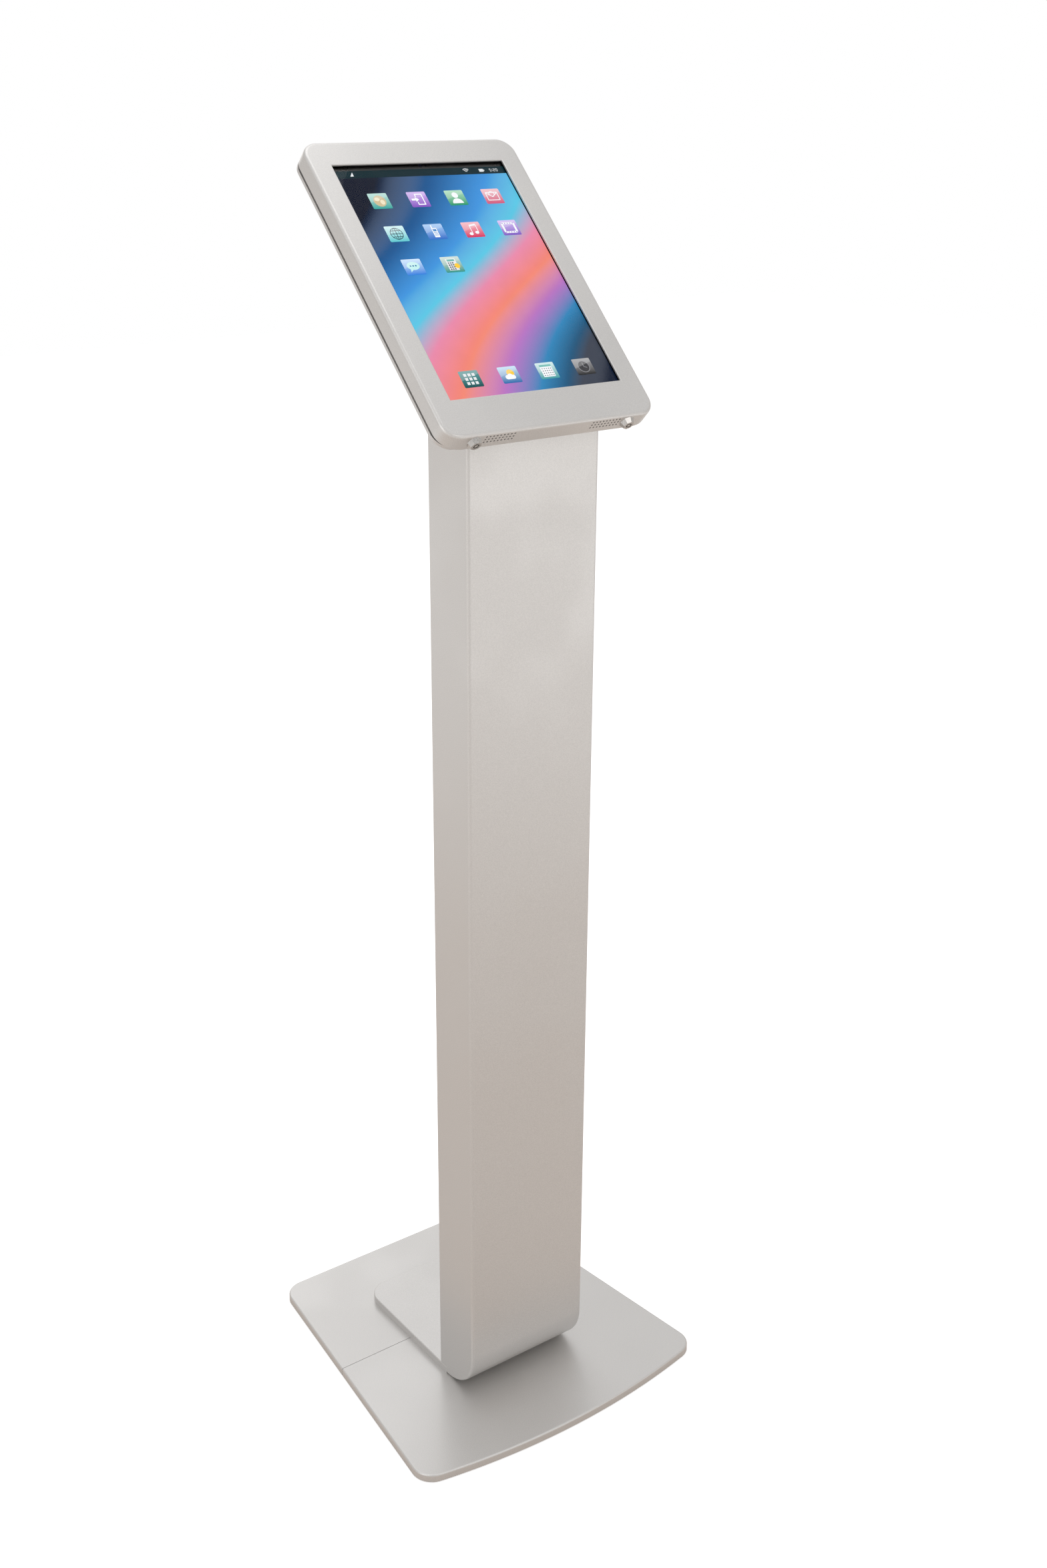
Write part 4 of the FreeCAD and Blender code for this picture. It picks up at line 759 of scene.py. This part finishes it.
def lay_flat(x, up):
    """A matrix that lays a symbol drawn in millimetres on the picture."""
    return FACE @ Matrix.Translation((x * MM, up * MM, PICTURE_LEVEL + 0.02 * MM)) @ \
        Matrix.Scale(MM, 4)


for name, column, row, high, low, layers in TILES:
    shape = new_flat()
    add_layer(shape, tile_plate, (low, high), 0)
    for level, (colour, shapes) in enumerate(layers, start=1):
        add_layer(shape, draw_shapes(shapes), (colour, colour), level)
    keep_piece("tile_" + name, shape, GLOW,
               lay=lay_flat(GRID_LEFT + COLUMN_PITCH * column, GRID_TOP - ROW_PITCH * row))

# %% [markdown]
# ## Signs in the status bar
# A signal wedge stands on the left. On the right are radio arcs, a battery and a clock whose
# figures are seven-stroke digits, the way a simple display draws numbers.

# %% Status bar
STROKES = {"top": (-1, 2, 1, 2), "middle": (-1, 0, 1, 0), "bottom": (-1, -2, 1, -2),
           "high left": (-1, 0, -1, 2), "high right": (1, 0, 1, 2),
           "low left": (-1, -2, -1, 0), "low right": (1, -2, 1, 0)}
DIGITS = {"5": ("top", "high left", "middle", "low right", "bottom"),
          "2": ("top", "high right", "middle", "low left", "bottom"),
          "0": ("top", "high left", "high right", "low left", "low right", "bottom")}


def digit(value, x, size=0.62):
    return [("bar", x + size * a, size * b, x + size * c, size * d, 0.32)
            for a, b, c, d in (STROKES[stroke] for stroke in DIGITS[value])]


def make_status():
    shape = new_flat()
    wedge = [("patch", (-62.5, -1.8), (-59.5, -1.8), (-59.5, 2.0))]
    arcs = [("ring", 41.0, -1.6, radius, 0.5, 1.0, 45, 90) for radius in (1.5, 2.7, 3.9)]
    battery = [("bar", 53.0, 0, 57.0, 0, 2.8), ("bar", 57.2, 0, 57.9, 0, 1.2)]
    clock = digit("5", 63.5) + digit("2", 67.0) + digit("0", 69.4)
    clock += [("disc", 65.3, level, 0.26) for level in (-0.7, 0.7)]
    signs = wedge + arcs + battery + clock
    add_layer(shape, draw_shapes(signs), ((0.75, 0.78, 0.8), (0.75, 0.78, 0.8)), 0)
    return shape


keep_piece("status_signs", make_status(), GLOW,
           lay=lay_flat(0, display_up[1] / MM - STATUS_BAR / 2))

# %% [markdown]
# ## Eyes of the tablet
# Two small dark windows in the ink border: the camera's lens and a light sensor. They are
# turned profiles, a dished disc in a raised rim, so a plain spin makes each one.


# %% Camera window and light sensor
LENS = grained("Lens_coating", (0.004, 0.006, 0.015, 1), (0.01, 0.012, 0.03, 1), 4000.0, 0.02,
               (0.05, 0.1))[0]
camera_x, camera_up, _ = on_face("front_camera")
glass_rear = on_face("tablet_glass")[2][0]
SENSOR_OFFSET = 4.6
EYE_DEPTH = 0.018
for label, offset, radius in (("camera_window", 0.0, 1.5),
                              ("light_sensor", SENSOR_OFFSET, 0.8)):
    eye = bmesh.new()
    turned(eye, [(0, 0), (radius, 0), (radius, 0.015), (radius * 0.7, 0.015),
                 (radius * 0.6, 0.008), (0, 0.008)])
    middle = sum(camera_x) / 2 + offset * MM
    keep_piece(label, eye, LENS,
               lay=FACE @ Matrix.Translation((middle, sum(camera_up) / 2,
                                              glass_rear - EYE_DEPTH * MM)))

# %% [markdown]
# ## Rubber and foam
# The kiosk stands on moulded rubber feet, its two lead holes have rubber grommets, the tablet
# lies on foam pads and a foam gasket seals the window. Round pieces are turned from a profile.
# A pad is a block whose sides bulge a little where the tablet squeezes it.

# %% Rubber feet and grommets
FOOT_PROFILE = [(0, 0), (0.78, 0), (0.8, 0.012), (0.84, 0.012), (0.86, 0), (0.97, 0), (1, 0.02),
                (1, 0.133), (0, 0.133)]


def make_feet():
    shape = bmesh.new()
    for x, y, z in separate("base_pads"):
        foot = bmesh.new()
        radius = (x[1] - x[0]) / 2 / MM
        turned(foot, [(radius * across, radius * up) for across, up in FOOT_PROFILE])
        bmesh.ops.translate(foot, vec=(sum(x) / 2, sum(y) / 2, z[0]), verts=foot.verts)
        join_into(shape, foot)
    return shape


feet = keep_piece("rubber_feet", make_feet(), RUBBER)
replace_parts(feet, "base_pads")

REAR_GROMMET = [(4, 0), (9, 0), (9.5, 0.4), (9.5, 1.5), (8, 1.5), (8, 3.5), (10.5, 3.5),
                (10.3, 4.3), (9.2, 5.3), (4.8, 5.3), (4, 4.6)]
BACK_GROMMET = [(2.6, 0), (8.2, 0), (8.6, 0.4), (8.6, 1.2), (7, 1.2), (7, 7.7), (8.6, 7.7),
                (8.3, 8.3), (3.2, 8.3), (2.6, 7.8)]
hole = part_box("rear_grommet")
turn_back = Matrix.Translation(((hole[0].x + hole[1].x) / 2, hole[0].y,
                                (hole[0].z + hole[1].z) / 2)) @ Matrix.Rotation(-math.pi / 2, 4, "X")
lead_x, lead_up, lead_level = on_face("back_grommet")
lay_back = FACE @ Matrix.Translation((sum(lead_x) / 2, sum(lead_up) / 2, lead_level[0]))
for label, profile, node, lay in (("rear_lead_ring", REAR_GROMMET, "rear_grommet", turn_back),
                                  ("head_lead_ring", BACK_GROMMET, "back_grommet", lay_back)):
    ring_shape = bmesh.new()
    turned(ring_shape, profile, closed=True)
    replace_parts(keep_piece(label, ring_shape, RUBBER, lay=lay), node)


# %% Foam pads and gasket
PAD_BULGE = 0.5 * MM
PAD_CORNER = 2.0 * MM


def upright_edges(shape):
    return [edge for edge in shape.edges
            if abs(edge.verts[0].co.z - edge.verts[1].co.z) > MM]


def make_pads():
    shape = bmesh.new()
    for x, up, level in separate("tablet_pads", FACE.inverted()):
        pad = bmesh.new()
        block(pad, (x[0] + PAD_BULGE, x[1] - PAD_BULGE),
              (up[0] + PAD_BULGE, up[1] - PAD_BULGE), level)
        bmesh.ops.bevel(pad, geom=upright_edges(pad), offset=PAD_CORNER, affect="EDGES",
                        segments=3, profile=0.5, material=-1)
        bmesh.ops.subdivide_edges(pad, edges=upright_edges(pad), cuts=5)
        middle = Vector((sum(x) / 2, sum(up) / 2, 0))
        for corner in pad.verts:
            height = (corner.co.z - level[0]) / (level[1] - level[0])
            away = Vector((corner.co.x, corner.co.y, 0)) - middle
            corner.co += away.normalized() * PAD_BULGE * math.sin(math.pi * height)
        join_into(shape, pad)
    return shape


pads = keep_piece("foam_pads", make_pads(), FOAM, lay=FACE)
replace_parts(pads, "tablet_pads")


def make_gasket():
    shape = bmesh.new()
    gasket_x, gasket_up, gasket_level = on_face("cover_gasket")
    inner_x = (display_x[0] + 0.4 * MM, display_x[1] - 0.4 * MM)
    wide = inner_x[0] - gasket_x[0]
    ring_plate(shape, (gasket_x, gasket_up), (inner_x, (gasket_up[0] + wide, gasket_up[1] - wide)),
               gasket_level[0], gasket_level[1] - gasket_level[0])
    soften(shape, shape.verts[:], 0.15 * MM, 2)
    return shape


gasket = keep_piece("window_gasket", make_gasket(), FOAM, body="cover", lay=FACE)
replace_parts(gasket, "cover_gasket")

# %% [markdown]
# ## Charging lead
# The lead leaves the plug at the tablet's foot, turns behind the tablet, goes through the
# grommet and hangs straight down the post to the adapter. It is one smooth NURBS curve with a
# round bevel. Points near the grommet keep it in the middle of its hole.

# %% Lead on one smooth curve
LEAD_IN_HEAD = [(10.0, 8.4), (10.0, 4.85), (35.5, 4.85), (40.0, 4.85), (40.0, 0.5),
                (40.0, -16.0)]
LEAD_RADIUS = 1.6 * MM
TURN_DOWN = 60.0 * MM
lead_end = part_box("charge_lead")[0].z
end_ring = [corner.co for corner in NODES["charge_lead"].data.vertices
            if corner.co.z < lead_end + 0.1 * MM]
hang_y = sum(corner.y for corner in end_ring) / len(end_ring)
lead_route = [FACE @ Vector((0, up * MM, level * MM)) for up, level in LEAD_IN_HEAD]
lead_route += [Vector((0, hang_y, lead_route[-1].z - TURN_DOWN)), Vector((0, hang_y, lead_end))]


def make_lead():
    line = bpy.data.curves.new("tablet_lead", "CURVE")
    line.dimensions = "3D"
    line.bevel_depth = LEAD_RADIUS
    line.bevel_resolution = 6
    line.use_fill_caps = True
    spline = line.splines.new("NURBS")
    spline.points.add(len(lead_route) - 1)
    for point, place in zip(spline.points, lead_route):
        point.co = (*place, 1)
    spline.order_u = 3
    spline.use_endpoint_u = True
    spline.resolution_u = 12
    lead = bpy.data.objects.new("tablet_lead", line)
    bpy.context.scene.collection.objects.link(lead)
    dress(lead, JACKET)
    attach(lead, "stand")
    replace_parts(lead, "charge_lead")
    return lead


make_lead()
print("lead points:", len(lead_route), "hangs at y", round(hang_y, 4))

# %% [markdown]
# ## Cloth behind the sound holes
# A strip of black acoustic cloth is cut in two and glued behind the two groups of sound holes.
# Each half is a grid given a thickness, and the weave is in the material: two sets of threads
# that cross, each rounded by a sine, and taken in turn by a checker of the same pitch.


# %% Woven cloth and its two pieces
def make_cloth_finish():
    material, tree, shader = grained("Black_weave", grey(0.008), grey(0.02), 2500.0, 0.3,
                                     (0.8, 0.95))
    chart = add(tree, "UVMap", uv_map="threads")
    split = add(tree, "SeparateXYZ")
    tree.links.new(chart.outputs["UV"], split.inputs["Vector"])
    threads = [sum_up(tree, "ABSOLUTE",
                      sum_up(tree, "SINE", sum_up(tree, "MULTIPLY", split.outputs[axis], math.pi)))
               for axis in ("X", "Y")]
    turns = add(tree, "TexChecker")
    turns.inputs["Scale"].default_value = 1.0
    tree.links.new(chart.outputs["UV"], turns.inputs["Vector"])
    weave = add(tree, "Mix", data_type="FLOAT")
    for socket, value in zip(weave.inputs[0:1] + weave.inputs[2:4],
                             (turns.outputs["Fac"], *threads)):
        tree.links.new(value, socket)
    relief = shader.inputs["Normal"].links[0].from_node
    relief.inputs["Strength"].default_value = 0.8
    feed(tree, relief.inputs["Height"], weave.outputs[0])
    feed(tree, shader.inputs["Base Color"],
         mixed(tree, weave.outputs[0], grey(0.004), grey(0.03)))
    shader.inputs["Sheen Weight"].default_value = 0.3
    return material


def make_cloth():
    shape = bmesh.new()
    thread = 0.35 * MM
    for x, up, level in separate("speaker_mesh", FACE.inverted()):
        half = bmesh.new()
        chart = half.loops.layers.uv.new("threads")
        bmesh.ops.create_grid(half, x_segments=28, y_segments=10, size=0.5)
        for loop in (loop for face in half.faces for loop in face.loops):
            loop[chart].uv = ((loop.vert.co.x + 0.5) * (x[1] - x[0]) / thread,
                              (loop.vert.co.y + 0.5) * (level[1] - level[0]) / thread)
        bmesh.ops.scale(half, vec=(x[1] - x[0], level[1] - level[0], 1), verts=half.verts)
        bmesh.ops.rotate(half, cent=(0, 0, 0), matrix=Matrix.Rotation(math.pi / 2, 3, "X"),
                         verts=half.verts)
        bmesh.ops.translate(half, vec=(sum(x) / 2, up[0], sum(level) / 2), verts=half.verts)
        raised = bmesh.ops.extrude_face_region(half, geom=half.faces[:])["geom"]
        bmesh.ops.translate(half, vec=(0, up[1] - up[0], 0),
                            verts=[item for item in raised if isinstance(item, bmesh.types.BMVert)])
        join_into(shape, half)
    return shape, 2 * (level[1] - level[0]), x[1] - x[0]


cloth_shape, strip_width, strip_length = make_cloth()
cloth = keep_piece("sound_cloth", cloth_shape, make_cloth_finish(), body="cover",
                   lay=FACE)
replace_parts(cloth, "speaker_mesh")

# %% [markdown]
# ## Floor, light and camera
# The kiosk stands on a pale floor in soft studio light. The room is white to the camera and
# greyer to the metal, because a metal shows what is around it.

# %% Floor
def make_floor():
    shape = bmesh.new()
    bmesh.ops.create_grid(shape, x_segments=2, y_segments=2, size=6.0)
    mesh = bpy.data.meshes.new("floor")
    shape.to_mesh(mesh)
    shape.free()
    floor = bpy.data.objects.new("floor", mesh)
    bpy.context.scene.collection.objects.link(floor)
    material, tree, shader = grained("Studio_floor", grey(0.90), grey(0.93), 40.0, 0.0,
                                     (0.6, 0.7))
    pale = shader.inputs["Base Color"].links[0].from_socket
    seen = add(tree, "LightPath").outputs["Is Camera Ray"]
    away = add(tree, "VectorMath", operation="DISTANCE")
    tree.links.new(add(tree, "TexCoord").outputs["Object"], away.inputs[0])
    away.inputs[1].default_value = (-0.1, -0.1, 0)
    # Painted shade: to every ray but the camera's the floor is darker and warmer near the kiosk, and the metal
    # shows that shade in its reflections.
    shaded = mixed(tree, between(tree, away.outputs["Value"], 0.8, 2.2), (0.74, 0.66, 0.60, 1),
                   grey(0.88, 0.02))
    feed(tree, shader.inputs["Base Color"], mixed(tree, seen, shaded, pale))
    # Painted light: further out the floor glows to rays other than the camera's, so the metal reflects a brighter
    # floor there.
    painted_glow_far = between(tree, away.outputs["Value"], 0.9, 2.4)
    feed(tree, shader.inputs["Emission Color"],
         mixed(tree, seen, mixed(tree, painted_glow_far, grey(0.0), grey(0.5)), grey(1.0)))
    shader.inputs["Emission Strength"].default_value = 0.45
    dress(floor, material)
    return floor


make_floor()
print("floor is down")


# %% Soft lights and the room
def soft_light(name, place, target, size, power, tone=(1, 1, 1)):
    light = bpy.data.lights.new(name, "AREA")
    light.shape = "RECTANGLE"
    light.size, light.size_y = size
    light.energy = power
    light.color = tone
    lamp = bpy.data.objects.new(name, light)
    lamp.location = place
    lamp.rotation_euler = (Vector(target) - Vector(place)).to_track_quat("-Z", "Y").to_euler()
    bpy.context.scene.collection.objects.link(lamp)
    return lamp


MIDDLE = Vector((0, 0, 0.6))
soft_light("left_softbox", (-2.6, -0.6, 1.7), MIDDLE, (1.6, 2.2), 13)
soft_light("top_softbox", (0.2, 0.4, 3.0), MIDDLE, (2.0, 2.0), 12)
soft_light("front_fill", (0.6, -2.6, 2.0), MIDDLE, (1.6, 1.2), 6, (1, 0.98, 0.96))
soft_light("low_strip", (1.5, -2.3, 0.2), (0, 0, 0.8), (1.4, 0.6), 2)
soft_light("rear_softbox", (0.8, 2.8, 1.8), MIDDLE, (2.0, 2.0), 8)


def make_room():
    world = bpy.data.worlds.new("Room")
    bpy.context.scene.world = world
    world.use_nodes = True
    tree = world.node_tree
    ground = tree.nodes["Background"]
    seen = add(tree, "LightPath").outputs["Is Camera Ray"]
    direction = add(tree, "SeparateXYZ")
    tree.links.new(add(tree, "TexCoord").outputs["Generated"], direction.inputs["Vector"])
    height = between(tree, direction.outputs["Z"], -0.3, 0.9)
    room = mixed(tree, height, grey(0.62, 0.05), grey(0.70))
    feed(tree, ground.inputs["Color"], mixed(tree, seen, room, grey(1.0)))
    ground.inputs["Strength"].default_value = 1.0


make_room()
print("lights:", [item.name for item in bpy.data.lights])


# %% Camera
def make_camera():
    lens = bpy.data.cameras.new("view")
    lens.lens = 41.18
    lens.sensor_width = 36.0
    eye = bpy.data.objects.new("view", lens)
    eye.location = (-0.7784, -1.1247, 1.1013)
    heading, dip, lean = (math.radians(angle) for angle in (-36.397, -21.867, 0.3575))
    eye.rotation_euler = (Matrix.Rotation(heading, 3, "Z")
                          @ Matrix.Rotation(math.pi / 2 + dip, 3, "X")
                          @ Matrix.Rotation(lean, 3, "Z")).to_euler()
    bpy.context.scene.collection.objects.link(eye)
    bpy.context.scene.camera = eye


make_camera()
bpy.context.scene.view_settings.view_transform = "Standard"
print("camera is set")
